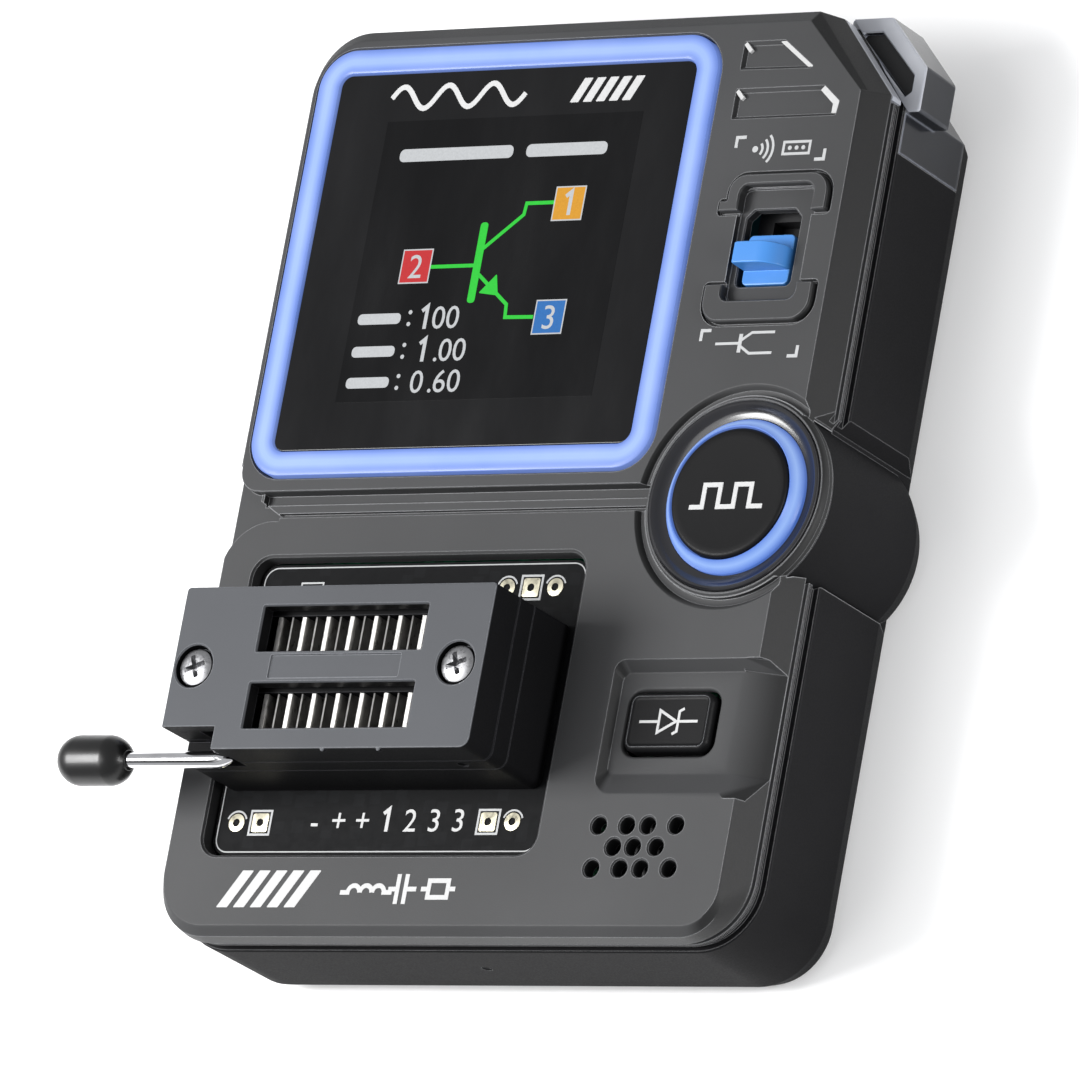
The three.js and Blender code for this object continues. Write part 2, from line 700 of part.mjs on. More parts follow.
function zifScrew(x) {
  const head = ZIF_TOP - 0.1;
  const slot = box(x, ZIF_MID_Y, head - 0.5, 2.4, 0.5, head + 1);
  const cross = box(x, ZIF_MID_Y, head - 0.5, 0.5, 2.4, head + 1);
  const screw = turned(x, ZIF_MID_Y, [
    [0, 18.2],
    [0.9, 18.2],
    [0.9, head - 1.0],
    [1.7, head - 1.0],
    [1.7, head - 0.25],
    [1.4, head],
    [0, head],
  ], 16);
  return screw.subtract(slot).subtract(cross);
}

// Plate that the cam pushes along the rows to open the contacts.
function zifSlider() {
  const low = ZIF_SPLIT + GAP;
  const windows = ROW_Y.map((y) => slotBlock(y, low - 1, low + SLIDER.thick + 1, -0.35, SLIDER_ROOM));
  return block(SLIDER, low, low + SLIDER.thick).subtract(union(windows));
}

// Steel bent as a U whose two leaves grip a component lead.
function contact(x, y) {
  const half = 0.75;
  const thick = 0.3;
  const low = 18.6;
  const high = 23.2;
  const section = [
    [-half, low],
    [half, low],
    [half, high],
    [half - thick, high],
    [half - thick, low + thick],
    [thick - half, low + thick],
    [thick - half, high],
    [-half, high],
  ];
  const shape = new THREE.Shape(section.map(([u, z]) => new THREE.Vector2(u, z)));
  const geometry = new THREE.ExtrudeGeometry(shape, { depth: 3.2, bevelEnabled: false });
  geometry.rotateX(Math.PI / 2);
  geometry.translate(x, y + 1.6, 0);
  return toSolid(geometry);
}

function barAlong(axis, r, from, to, x, y, z, sides = 12) {
  const geometry = new THREE.CylinderGeometry(r, r, to - from, sides);
  geometry.translate(0, (from + to) / 2, 0);
  if (axis === 'x') {
    geometry.rotateZ(-Math.PI / 2);
  }
  geometry.translate(x, y, z);
  return toSolid(geometry);
}

// Cam shaft across the socket with its lobe and the arm that ends in the knob.
function zifLever() {
  const shaft = barAlong('y', 1.0, LEVER_Y - 0.6, -15.3, PIVOT.x, 0, PIVOT.z);
  const arm = barAlong('x', LEVER_R, LEVER_END, PIVOT.x, 0, LEVER_Y, PIVOT.z);
  const lobe = box(PIVOT.x, -17.2, PIVOT.z, 1.5, 2.6, PIVOT.z + 1.45);
  return union([shaft, arm, lobe]);
}

function leverKnob() {
  const { r, length } = LEVER_KNOB;
  const profile = [];
  const end = 6;
  for (let k = 0; k <= end; k++) {
    const angle = -Math.PI / 2 + Math.PI / 2 * k / end;
    profile.push(new THREE.Vector2(r * Math.cos(angle), -length / 2 + r + r * Math.sin(angle)));
  }
  for (let k = 0; k <= end; k++) {
    const angle = Math.PI / 2 * k / end;
    profile.push(new THREE.Vector2(r * Math.cos(angle), length / 2 - r + r * Math.sin(angle)));
  }
  profile[0].x = 0;
  profile[profile.length - 1].x = 0;
  const geometry = new THREE.LatheGeometry(profile, 20);
  geometry.rotateZ(Math.PI / 2);
  geometry.translate(LEVER_KNOB.x, LEVER_Y, PIVOT.z);
  const bore = barAlong('x', LEVER_R + 0.12, LEVER_END - 0.3, -20, 0, LEVER_Y, PIVOT.z);
  return toSolid(geometry).subtract(bore);
}

// ---------------------------------------------------------------- assembly

const tester = new THREE.Group();

function place(name, solid, material) {
  const mesh = new THREE.Mesh(toGeometry(solid), material);
  mesh.name = name;
  tester.add(mesh);
}

place('front_cover', frontCover(), MATERIALS.shell);
place('rear_cover', rearCover(), MATERIALS.shellBack);
place('ir_window', irWindow(), MATERIALS.smoke);
place('light_frame', lightFrame(), MATERIALS.glow);
place('screen_lens', screenLens(), MATERIALS.lens);
place('lcd_module', lcdModule(), MATERIALS.foil);
place('test_light_ring', testLightRing(), MATERIALS.glow);
place('test_bezel', testBezel(), MATERIALS.black);
place('test_button_cap', testButtonCap(), MATERIALS.black);
place('zener_button', zenerButton(), MATERIALS.black);

const keyX = (KEY.left + KEY.right) / 2;
const keyY = (KEY.bottom + KEY.top) / 2;
place('test_tact_body', tactBody(BOSS.x, BOSS.y), MATERIALS.black);
place('test_tact_plunger', tactPlunger(BOSS.x, BOSS.y), MATERIALS.black);
place('zener_tact_body', tactBody(keyX, keyY), MATERIALS.black);
place('zener_tact_plunger', tactPlunger(keyX, keyY), MATERIALS.black);

place('slide_switch_body', slideSwitchBody(), MATERIALS.steel);
place('switch_knob', switchKnob(), MATERIALS.blue);
place('main_board', mainBoard(), MATERIALS.mainBoard);
place('socket_board', socketBoard(), MATERIALS.board);
place('board_header', boardHeader(), MATERIALS.black);
place('buzzer', buzzer(), MATERIALS.black);
place('ir_receiver', irReceiver(), MATERIALS.black);
place('battery', battery(), MATERIALS.foil);
place('processor_chip', processorChip(), MATERIALS.black);
place('boost_inductor', boostInductor(), MATERIALS.black);
place('usb_port', usbPort(), MATERIALS.steel);
SCREWS.forEach(([x, y], i) => place(`case_screw_${i + 1}`, caseScrew(x, y), MATERIALS.steel));

place('zif_base', zifBase(), MATERIALS.zifBase);
place('zif_cover', zifCover(), MATERIALS.zifCover);
place('zif_screw_left', zifScrew(ZIF_SCREW_X[0]), MATERIALS.steel);
place('zif_screw_right', zifScrew(ZIF_SCREW_X[1]), MATERIALS.steel);
place('zif_slider', zifSlider(), MATERIALS.zifBase);
place('zif_lever', zifLever(), MATERIALS.steel);
place('lever_knob', leverKnob(), MATERIALS.black);
ROW_Y.forEach((y, row) => {
  for (let i = 0; i < CONTACTS; i++) {
    const x = CONTACT_X + PITCH * (i - (CONTACTS - 1) / 2);
    place(`contact_${row * CONTACTS + i + 1}`, contact(x, y), MATERIALS.gold);
  }
});

export default tester;
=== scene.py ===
"""Looks of the hand-held component tester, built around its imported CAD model.

Lengths are in millimetres until a mesh is made, in the CAD frame: +X across the case,
+Y towards the screen end, +Z out of the screen, the back on Z = 0.
"""

import math
from types import SimpleNamespace

import bmesh
import bpy
from mathutils import Matrix, Vector


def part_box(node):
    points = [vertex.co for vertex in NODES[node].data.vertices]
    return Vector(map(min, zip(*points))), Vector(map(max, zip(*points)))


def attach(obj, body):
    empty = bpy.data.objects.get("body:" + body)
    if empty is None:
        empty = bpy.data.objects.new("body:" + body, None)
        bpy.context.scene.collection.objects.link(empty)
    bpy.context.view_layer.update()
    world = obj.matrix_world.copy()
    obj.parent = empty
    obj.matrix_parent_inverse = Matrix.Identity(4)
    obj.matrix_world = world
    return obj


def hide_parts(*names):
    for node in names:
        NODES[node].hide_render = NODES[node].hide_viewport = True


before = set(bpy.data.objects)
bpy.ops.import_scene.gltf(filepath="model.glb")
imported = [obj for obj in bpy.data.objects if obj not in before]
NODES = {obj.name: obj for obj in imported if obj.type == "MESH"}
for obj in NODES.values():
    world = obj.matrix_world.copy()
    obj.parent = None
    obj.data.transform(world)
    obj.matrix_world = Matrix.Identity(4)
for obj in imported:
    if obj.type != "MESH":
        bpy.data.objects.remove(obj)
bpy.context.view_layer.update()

MM = 0.001


# ---------------------------------------------------------------- places from the frame

def span(node):
    """The box of a CAD node, in millimetres."""
    lo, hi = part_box(node)
    return SimpleNamespace(
        left=lo.x / MM, right=hi.x / MM,
        bottom=lo.y / MM, top=hi.y / MM,
        low=lo.z / MM, high=hi.z / MM,
        x=(lo.x + hi.x) / 2 / MM, y=(lo.y + hi.y) / 2 / MM, z=(lo.z + hi.z) / 2 / MM,
    )


REAR = span("rear_cover")
LIGHT = span("light_frame")
LENS = span("screen_lens")
CAP = span("test_button_cap")
RING = span("test_light_ring")
BEZEL = span("test_bezel")
KEY = span("zener_button")
KNOB = span("switch_knob")
BOARD = span("socket_board")
BASE = span("zif_base")
COVER = span("zif_cover")
LEVER = span("zif_lever")
GRIP = span("lever_knob")
WINDOW = span("ir_window")

FACE = LIGHT.high - 0.3           # front face; the lit frame stands proud of it
HALF_W = -REAR.left
HALF_L = REAR.top
CORNER_R = 6.0
CUT_X, CUT_Y = 6.3, 7.3           # the cut corner, measured back from the square corner
SEAM_TOP, SEAM_LOW = 14.35, 11.9  # end of the front shell's skirt and of the rear wall
WALL = 1.5

BOSS_X, BOSS_Y = BEZEL.x, BEZEL.y
BOSS_R = REAR.right - BOSS_X
BOSS_SIDES = 96                   # facets of the round parts round the test button


# ---------------------------------------------------------------- outlines and solids

SHARP_R = 0.02                    # radius of a corner that is given without one


def rounded(corners):
    """Corners as (x, y, radius), from any mix of (x, y) and (x, y, radius)."""
    return [corner if len(corner) == 3 else (*corner, SHARP_R) for corner in corners]


def offset(corners, grow):
    """Corners of a counter-clockwise outline moved outwards by grow."""
    moved = []
    for i, (x, y, r) in enumerate(rounded(corners)):
        here = Vector((x, y))
        before = (here - Vector(corners[i - 1][:2])).normalized()
        after = (Vector(corners[(i + 1) % len(corners)][:2]) - here).normalized()
        out_a = Vector((before.y, -before.x))
        out_b = Vector((after.y, -after.x))
        place = here + (out_a + out_b) * (grow / (1 + out_a.dot(out_b)))
        convex = before.x * after.y - before.y * after.x > 0
        moved.append((place.x, place.y, max(r + grow if convex else r - grow, SHARP_R)))
    return moved


def outline(corners, steps=8):
    """Points of a closed outline with each corner rounded by its own radius."""
    points = []
    for i, (x, y, r) in enumerate(rounded(corners)):
        here = Vector((x, y))
        back = (Vector(corners[i - 1][:2]) - here).normalized()
        ahead = (Vector(corners[(i + 1) % len(corners)][:2]) - here).normalized()
        half = math.acos(max(-1, min(1, back.dot(ahead)))) / 2
        start = here + back * (r / math.tan(half))
        end = here + ahead * (r / math.tan(half))
        centre = here + (back + ahead).normalized() * (r / math.sin(half))
        first = math.atan2(start.y - centre.y, start.x - centre.x)
        sweep = math.atan2(end.y - centre.y, end.x - centre.x) - first
        sweep = math.atan2(math.sin(sweep), math.cos(sweep))
        for k in range(steps + 1):
            angle = first + sweep * k / steps
            points.append((centre.x + r * math.cos(angle), centre.y + r * math.sin(angle)))
    return points


def rect(left, right, bottom, top, r=SHARP_R):
    return [(left, bottom, r), (right, bottom, r), (right, top, r), (left, top, r)]


def around(x, y, half, tall=None, r=SHARP_R):
    """Rectangle around a place, from its half sizes."""
    tall = tall or half
    return rect(x - half, x + half, y - tall, y + tall, r)


def rect_of(box, r=SHARP_R, grow=0.0):
    return rect(box.left - grow, box.right + grow, box.bottom - grow, box.top + grow, r)


def skin(rings, closed=False):
    """Vertices and faces skinned over rings of equal length, with flat ends unless closed."""
    count = len(rings[0])
    verts = [point for ring in rings for point in ring]
    faces = []
    spans = len(rings) if closed else len(rings) - 1
    for level in range(spans):
        a = level * count
        b = (level + 1) % len(rings) * count
        for i in range(count):
            j = (i + 1) % count
            faces.append((a + i, a + j, b + j, b + i))
    if not closed:
        faces.append(tuple(reversed(range(count))))
        last = (len(rings) - 1) * count
        faces.append(tuple(range(last, last + count)))
    return verts, faces


def stack(corners, levels, steps=8):
    """Solid over one outline; levels are (height, growth) from low to high."""
    rings = []
    for z, grow in levels:
        rings.append([(x, y, z) for x, y in outline(offset(corners, grow), steps)])
    return skin(rings)


def loft(levels, steps=8):
    """Solid over outlines at rising heights; levels are (height, corners)."""
    return skin([[(x, y, z) for x, y in outline(corners, steps)] for z, corners in levels])


def turned(x, y, profile, sides=64, closed=False):
    """Upright turned solid; the profile is (radius, height) from low to high."""
    angles = [2 * math.pi * k / sides for k in range(sides)]
    rings = [[(x + r * math.cos(a), y + r * math.sin(a), z) for a in angles] for r, z in profile]
    return skin(rings, closed)


def tube(path, radii, sides=24):
    """Solid round bar along a path of points, with a radius at each."""
    rings = []
    side = None
    for i, point in enumerate(path):
        before = Vector(path[max(i - 1, 0)])
        after = Vector(path[min(i + 1, len(path) - 1)])
        along = (after - before).normalized()
        if side is None:
            side = along.orthogonal().normalized()
        side = (side - along * side.dot(along)).normalized()
        up = along.cross(side)
        ring = []
        for k in range(sides):
            angle = 2 * math.pi * k / sides
            ring.append(tuple(Vector(point) + (side * math.cos(angle) + up * math.sin(angle)) * radii[i]))
        rings.append(ring)
    return skin(rings)


def merged(*solids):
    """Several solids side by side in one list of vertices and faces."""
    verts, faces = [], []
    for some_verts, some_faces in solids:
        start = len(verts)
        verts.extend(some_verts)
        faces.extend(tuple(i + start for i in face) for face in some_faces)
    return verts, faces


def tiered(solids):
    """Flat marks in one solid, each a hair higher than the last so that overlaps stay clean."""
    lifted = []
    for i, (verts, faces) in enumerate(solids):
        lifted.append(([(x, y, z + 0.002 * i) for x, y, z in verts], faces))
    return merged(*lifted)


def add_object(name, data):
    made = bpy.data.objects.new(name, data)
    bpy.context.scene.collection.objects.link(made)
    return made


def to_object(name, solid):
    mesh = bpy.data.meshes.new(name)
    verts, faces = solid
    mesh.from_pydata([Vector(v) * MM for v in verts], [], faces)
    work = bmesh.new()
    work.from_mesh(mesh)
    bmesh.ops.recalc_face_normals(work, faces=work.faces)
    work.to_mesh(mesh)
    work.free()
    return add_object(name, mesh)


def cut(*solids):
    return [("DIFFERENCE", solid) for solid in solids]


def join(*solids):
    return [("UNION", solid) for solid in solids]


def common(*solids):
    return [("INTERSECT", solid) for solid in solids]


def booleans(solid, steps):
    """The solid after the steps made by cut, join and common, as a mesh."""
    target = to_object("work", solid)
    tools = []
    for operation, tool_solid in steps:
        tool = to_object("tool", tool_solid)
        change = target.modifiers.new("step", "BOOLEAN")
        change.operation = operation
        change.solver = "MANIFOLD"
        change.object = tool
        tools.append(tool)
    bpy.context.view_layer.update()
    graph = bpy.context.evaluated_depsgraph_get()
    mesh = bpy.data.meshes.new_from_object(target.evaluated_get(graph))
    for used in [target, *tools]:
        old = used.data
        bpy.data.objects.remove(used)
        bpy.data.meshes.remove(old)
    return mesh


def piece(name, source, material, slot, replaces=(), body="case", sharp=32, weighted=True):
    """A finished piece from a solid or a mesh, smooth except at its sharp edges."""
    if isinstance(source, tuple):
        made = to_object(name, source)
        mesh = made.data
    else:
        mesh = source
        mesh.name = name
        made = add_object(name, mesh)
    mesh.materials.clear()
    mesh.materials.append(material)
    for polygon in mesh.polygons:
        polygon.use_smooth = True
        polygon.material_index = 0
    mesh.set_sharp_from_angle(angle=math.radians(sharp))
    if weighted:
        weigh = made.modifiers.new("normals", "WEIGHTED_NORMAL")
        weigh.keep_sharp = True
        weigh.weight = 100
    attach(made, body)
    if replaces:
        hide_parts(*replaces)
    return made


def paint(made, material, chosen):
    """Gives a second material to the polygons that the test picks."""
    made.data.materials.append(material)
    for polygon in made.data.polygons:
        if chosen(polygon):
            polygon.material_index = 1


# ---------------------------------------------------------------- materials

class Nodes:
    """A short way to write a node tree."""

    def __init__(self, name):
        self.material = bpy.data.materials.new(name)
        self.material.use_nodes = True
        self.tree = self.material.node_tree
        self.shader = self.tree.nodes["Principled BSDF"]
        self.place = self.add("ShaderNodeTexCoord").outputs["Object"]

    def add(self, kind, **settings):
        node = self.tree.nodes.new(kind)
        for key, value in settings.items():
            setattr(node, key, value)
        return node

    def link(self, source, target):
        self.tree.links.new(source, target)

    def feed(self, name, value):
        """Links a value to an input of the shader."""
        self.link(value, self.shader.inputs[name])

    def set(self, **values):
        """Fixes inputs of the shader."""
        for key, value in values.items():
            self.shader.inputs[key.replace("_", " ")].default_value = value

    def noise(self, scale, detail=3.0, rough=0.5, stretch=(1, 1, 1)):
        """Noise whose scale is in bumps per millimetre."""
        mapping = self.add("ShaderNodeMapping")
        mapping.inputs["Scale"].default_value = [scale / MM * s for s in stretch]
        self.link(self.place, mapping.inputs["Vector"])
        noise = self.add("ShaderNodeTexNoise")
        noise.inputs["Scale"].default_value = 1.0
        noise.inputs["Detail"].default_value = detail
        noise.inputs["Roughness"].default_value = rough
        self.link(mapping.outputs[0], noise.inputs["Vector"])
        return noise.outputs["Fac"]

    def remap(self, value, low, high, from_low=0.3, from_high=0.7):
        node = self.add("ShaderNodeMapRange")
        node.inputs["From Min"].default_value = from_low
        node.inputs["From Max"].default_value = from_high
        node.inputs["To Min"].default_value = low
        node.inputs["To Max"].default_value = high
        self.link(value, node.inputs["Value"])
        return node.outputs["Result"]

    def mix(self, factor, first, second):
        node = self.add("ShaderNodeMix", data_type="RGBA")
        self.link(factor, node.inputs[0])
        for value, socket in ((first, node.inputs[6]), (second, node.inputs[7])):
            if hasattr(value, "is_output"):
                self.link(value, socket)
            else:
                socket.default_value = (*value, 1)
        return node.outputs[2]

    def bump(self, *layers):
        """Bumps chained from (height, strength, distance in millimetres) layers."""
        normal = None
        for height, strength, distance in layers:
            node = self.add("ShaderNodeBump")
            node.inputs["Strength"].default_value = strength
            node.inputs["Distance"].default_value = distance * MM
            self.link(height, node.inputs["Height"])
            if normal is not None:
                self.link(normal, node.inputs["Normal"])
            normal = node.outputs["Normal"]
        self.feed("Normal", normal)

    def edges(self, radius, gain):
        """Near 1 along edges within a radius in millimetres, 0 on the flats."""
        bevel = self.add("ShaderNodeBevel", samples=4)
        bevel.inputs["Radius"].default_value = radius * MM
        flat = self.add("ShaderNodeNewGeometry")
        dot = self.add("ShaderNodeVectorMath", operation="DOT_PRODUCT")
        self.link(bevel.outputs["Normal"], dot.inputs[0])
        self.link(flat.outputs["Normal"], dot.inputs[1])
        return self.remap(dot.outputs["Value"], gain, 0.0, 0.8, 0.998)

    def facing(self, direction, start, end):
        """0 to 1 as the surface turns towards a direction, start and end being cosines."""
        dot = self.add("ShaderNodeVectorMath", operation="DOT_PRODUCT")
        self.link(self.add("ShaderNodeNewGeometry").outputs["Normal"], dot.inputs[0])
        dot.inputs[1].default_value = direction
        return self.remap(dot.outputs["Value"], 0, 1, start, end)


def shade(colour, factor):
    return [value * factor for value in colour]


def plastic(name, colour, rough=0.55, grain=0.25, grain_scale=9.0, spread=0.18, level=0.35, painted_edge_highlight=None,
            painted_shade_side=None):
    """Moulded plastic: fine spark-eroded grain and slow tone changes, with a painted highlight along its
    edges and painted shade on the side that faces a given direction.
    """
    n = Nodes(name)
    slow = n.noise(0.05, 4.0)
    fine = n.noise(grain_scale, 2.0, 0.6)
    dark = shade(colour, 1 - spread)
    light = shade(colour, 1 + spread)
    tone = n.mix(n.remap(slow, 0, 1), dark, light)
    # painted shade: surfaces that face the given side are darkened towards a third of the colour
    if painted_shade_side:
        tone = n.mix(n.facing(painted_shade_side, 0.15, 0.4), tone, shade(colour, 0.3))
    # painted highlight: a paler colour mixed in along the edges
    if painted_edge_highlight:
        tone = n.mix(n.edges(0.13, 0.8), tone, painted_edge_highlight)
    n.feed("Base Color", tone)
    n.feed("Roughness", n.remap(fine, rough - 0.07, rough + 0.07))
    n.bump((fine, grain, 0.03))
    n.set(Specular_IOR_Level=level)
    return n.material


def gloss(name, colour, rough, level, coat=0.0):
    """Polished plastic with faint smears."""
    n = Nodes(name)
    smear = n.noise(0.12, 5.0, 0.6, (1, 0.35, 1))
    dust = n.noise(3.0, 2.0)
    n.feed("Base Color", n.mix(n.remap(smear, 0, 1), shade(colour, 0.85), shade(colour, 1.2)))
    n.feed("Roughness", n.remap(smear, rough * 0.75, rough * 1.35))
    n.bump((dust, 0.03, 0.01))
    n.set(Specular_IOR_Level=level, Coat_Weight=coat, Coat_Roughness=0.06)
    return n.material


def metal(name, colour, rough, brush, scale, scratch=0.08, painted_shade_side=None):
    """Metal with micro scratches and slight tarnish, and a painted dark reflection band where it faces a
    given direction.
    """
    n = Nodes(name)
    lines = n.noise(scale, 3.0, 0.6, brush)
    stain = n.noise(0.4, 4.0)
    tone = n.mix(n.remap(stain, 0, 1), shade(colour, 0.86), colour)
    # painted reflection: a dark band where the surface faces the given direction
    if painted_shade_side:
        tone = n.mix(n.facing(painted_shade_side, 0.93, 0.98), tone, shade(colour, 0.1))
    n.feed("Base Color", tone)
    n.feed("Roughness", n.remap(lines, rough * 0.7, rough * 1.4))
    n.bump((lines, scratch, 0.01))
    n.set(Metallic=1.0)
    return n.material


def lit(name, edge, middle, strength):
    """Frosted light guide: brighter and paler where the 'across' attribute nears 1."""
    n = Nodes(name)
    across = n.add("ShaderNodeAttribute", attribute_name="across").outputs["Fac"]
    cloud = n.noise(0.16, 3.0)
    tone = n.mix(across, edge, middle)
    tone = n.mix(n.remap(cloud, 0, 0.12), tone, (0.72, 0.8, 1.0))
    n.feed("Emission Color", tone)
    n.feed("Base Color", n.mix(across, shade(edge, 0.4), shade(middle, 0.4)))
    n.feed("Roughness", n.remap(cloud, 0.3, 0.42))
    n.bump((n.noise(5.0, 2.0), 0.05, 0.01))
    n.set(Emission_Strength=strength, Specular_IOR_Level=0.3)
    return n.material


def ink(name, colour, emit=0.0):
    """Printed ink, also used for painted highlights; a lit shape on the display when emit is above 0."""
    n = Nodes(name)
    grain = n.noise(6.0, 2.0, 0.6)
    tone = n.mix(n.remap(grain, 0, 1), shade(colour, 0.88), colour)
    n.feed("Roughness", n.remap(grain, 0.45, 0.6))
    if emit:
        n.feed("Emission Color", tone)
        n.set(Base_Color=(0.01, 0.01, 0.01, 1), Specular_IOR_Level=0.1, Emission_Strength=emit)
    else:
        n.feed("Base Color", tone)
    return n.material


def smoke(name, dark, light):
    """Smoky moulded window: dark body under a clear polished skin, with a painted highlight that makes it
    paler along its edges.
    """
    n = Nodes(name)
    cloud = n.noise(0.09, 4.0)
    tone = n.mix(n.remap(cloud, 0, 1), dark, light)
    # painted highlight: a pale grey mixed in along the edges
    tone = n.mix(n.edges(0.35, 0.7), tone, (0.32, 0.34, 0.4))
    n.feed("Base Color", tone)
    n.feed("Roughness", n.remap(cloud, 0.16, 0.26))
    n.bump((n.noise(2.0, 2.0), 0.03, 0.01))
    n.set(Specular_IOR_Level=0.3, Coat_Weight=0.15, Coat_Roughness=0.08)
    return n.material


def circuit(name, mask, trace, rough=0.35):
    """Solder mask over copper runs that show as slightly paler blocks."""
    n = Nodes(name)
    mapping = n.add("ShaderNodeMapping")
    mapping.inputs["Scale"].default_value = (0.55 / MM, 0.55 / MM, 0.02 / MM)
    n.link(n.place, mapping.inputs["Vector"])
    cells = n.add("ShaderNodeTexVoronoi", distance="CHEBYCHEV", feature="F1")
    cells.inputs["Scale"].default_value = 1.0
    n.link(mapping.outputs[0], cells.inputs["Vector"])
    runs = n.remap(cells.outputs["Distance"], 0, 1, 0.30, 0.33)
    n.feed("Base Color", n.mix(runs, trace, mask))
    n.feed("Roughness", n.remap(n.noise(1.2, 3.0), rough - 0.08, rough + 0.08))
    n.bump((runs, 0.12, 0.02), (n.noise(6.0, 2.0), 0.08, 0.01))
    n.set(Specular_IOR_Level=0.06)
    return n.material


# plastic: colour, roughness, grain depth, grains per millimetre, tone spread, specular level, colour of the
# painted edge highlight, side given painted shade
M_FACE = plastic("face_plastic", (0.040, 0.0405, 0.042), 0.55, 0.35, 9.0, 0.12, 0.26, (0.4, 0.405, 0.42),
                 (1, 0, 0))
# painted shade: the rear shell, whose walls are the sides of the case, gets a far darker colour than the
# face plastic
M_BACK_PAINTED_SHADE = plastic("back_plastic_painted_shade", (0.0075, 0.0075, 0.0082), 0.6, 0.25, 7.0, 0.2, 0.06, (0.3, 0.302, 0.31))
M_BLACK = plastic("black_plastic", (0.0045, 0.0045, 0.005), 0.45, 0.12, 8.0, 0.2, 0.12, (0.4, 0.41, 0.43))
M_INNER = plastic("inner_black_plastic", (0.012, 0.012, 0.013), 0.5, 0.2, 6.0)
M_BLUE = plastic("blue_plastic", (0.05, 0.21, 0.56), 0.4, 0.12, 8.0, 0.1, 0.4, (0.25, 0.53, 0.93))
M_GREY = plastic("socket_grey_plastic", (0.064, 0.067, 0.074), 0.55, 0.3, 8.0, 0.08, 0.22,
                 (0.3, 0.31, 0.33))
# the black is the socket base's own colour; on the sides of the socket cover it is painted shade
M_SOCKET_BLACK_AND_SHADE = plastic("socket_black_plastic_and_painted_shade", (0.004, 0.004, 0.0045), 0.6, 0.3, 8.0, 0.2, 0.08,
                 (0.07, 0.07, 0.078))
M_GLASS = gloss("screen_glass", (0.006, 0.006, 0.0065), 0.2, 0.22)
M_DISPLAY = gloss("display_glass", (0.0028, 0.0028, 0.0032), 0.22, 0.2)
M_BEZEL = gloss("bezel_gloss", (0.012, 0.012, 0.014), 0.2, 0.6)
M_KNOB = gloss("knob_gloss", (0.005, 0.005, 0.005), 0.3, 0.4, 0.1)
# the chrome gets a painted dark reflection band where it faces up and a little towards -Y
M_CHROME = metal("chrome", (0.83, 0.83, 0.85), 0.1, (0.2, 3, 3), 3.0, 0.04, (0, -0.337, 0.94))
M_STEEL = metal("plated_steel", (0.36, 0.36, 0.37), 0.32, (1, 1, 0.3), 4.0)
M_CONTACT = metal("contact_metal", (0.62, 0.61, 0.59), 0.36, (3, 0.4, 1), 4.0)
M_PAD = metal("gold_pad", (0.52, 0.49, 0.38), 0.36, (1, 1, 1), 3.0, 0.2)
M_FOIL = metal("foil", (0.58, 0.59, 0.61), 0.4, (1, 1, 1), 1.2, 0.3)
M_SMOKE = smoke("smoke_window", (0.004, 0.0046, 0.0066), (0.012, 0.0135, 0.0175))
M_SMOKE_TOP = smoke("smoke_window_top", (0.26, 0.27, 0.3), (0.4, 0.41, 0.44))
M_MASK_GREEN = circuit("green_board", (0.012, 0.085, 0.04), (0.02, 0.14, 0.065))
M_MASK_BLACK = circuit("black_board", (0.0055, 0.0057, 0.0062), (0.0072, 0.0075, 0.0082), 0.5)
M_FRAME_LIGHT = lit("frame_light", (0.13, 0.22, 0.60), (0.30, 0.43, 0.86), 0.62)
M_RING_LIGHT = lit("ring_light", (0.10, 0.22, 0.72), (0.28, 0.44, 0.84), 0.55)
# the white serves for print and for the painted highlights on the engraved bars
M_WHITE_PRINT_AND_HIGHLIGHT = ink("white_print_and_painted_highlight", (0.5, 0.5, 0.5))
M_SILVER = ink("silver_print", (0.42, 0.425, 0.43))
M_PALE = ink("lit_white", (0.62, 0.64, 0.66), 1.0)
M_GREEN = ink("lit_green", (0.02, 0.68, 0.04), 1.0)
M_RED = ink("lit_red", (0.62, 0.02, 0.025), 1.0)
M_ORANGE = ink("lit_orange", (0.78, 0.36, 0.02), 1.0)
M_AZURE = ink("lit_azure", (0.02, 0.17, 0.52), 1.0)


# ---------------------------------------------------------------- flat marks

def stroke(points, width, closed=False):
    """Outline of a line of that width through points, with mitred corners."""
    left, right = [], []
    count = len(points)
    for i in range(count):
        here = Vector(points[i])
        before = Vector(points[i - 1]) if i or closed else None
        after = Vector(points[(i + 1) % count]) if i < count - 1 or closed else None
        a = (here - before).normalized() if before is not None else (after - here).normalized()
        b = (after - here).normalized() if after is not None else a
        normal = Vector((-a.y - b.y, a.x + b.x)).normalized()
        reach = width / 2 / max(normal.dot(Vector((-a.y, a.x))), 0.35)
        left.append(tuple(here + normal * reach))
        right.append(tuple(here - normal * reach))
    return left, right


def line(points, width, low, high, closed=False):
    """Flat bar of that width along points, between two heights."""
    left, right = stroke(points, width, closed)
    rings = []
    for l, r in zip(left, right):
        rings.append([(*l, low), (*l, high), (*r, high), (*r, low)])
    return skin(rings, closed)


def arc(x, y, r, start, end, steps=12):
    """Points on an arc, its angles in degrees."""
    angles = [math.radians(start + (end - start) * k / steps) for k in range(steps + 1)]
    return [(x + r * math.cos(a), y + r * math.sin(a)) for a in angles]


def slab(corners, low, high, steps=5):
    """Flat plate over an outline."""
    return stack(corners, [(low, 0), (high, 0)], steps)


def disc(x, y, r, low, high, sides=28):
    """Flat round plate."""
    return turned(x, y, [(r, low), (r, high)], sides)


def frame_line(x, y, half, tall, width, low, high):
    """Closed line round a rectangle around a place."""
    return line([corner[:2] for corner in around(x, y, half, tall)], width, low, high, closed=True)


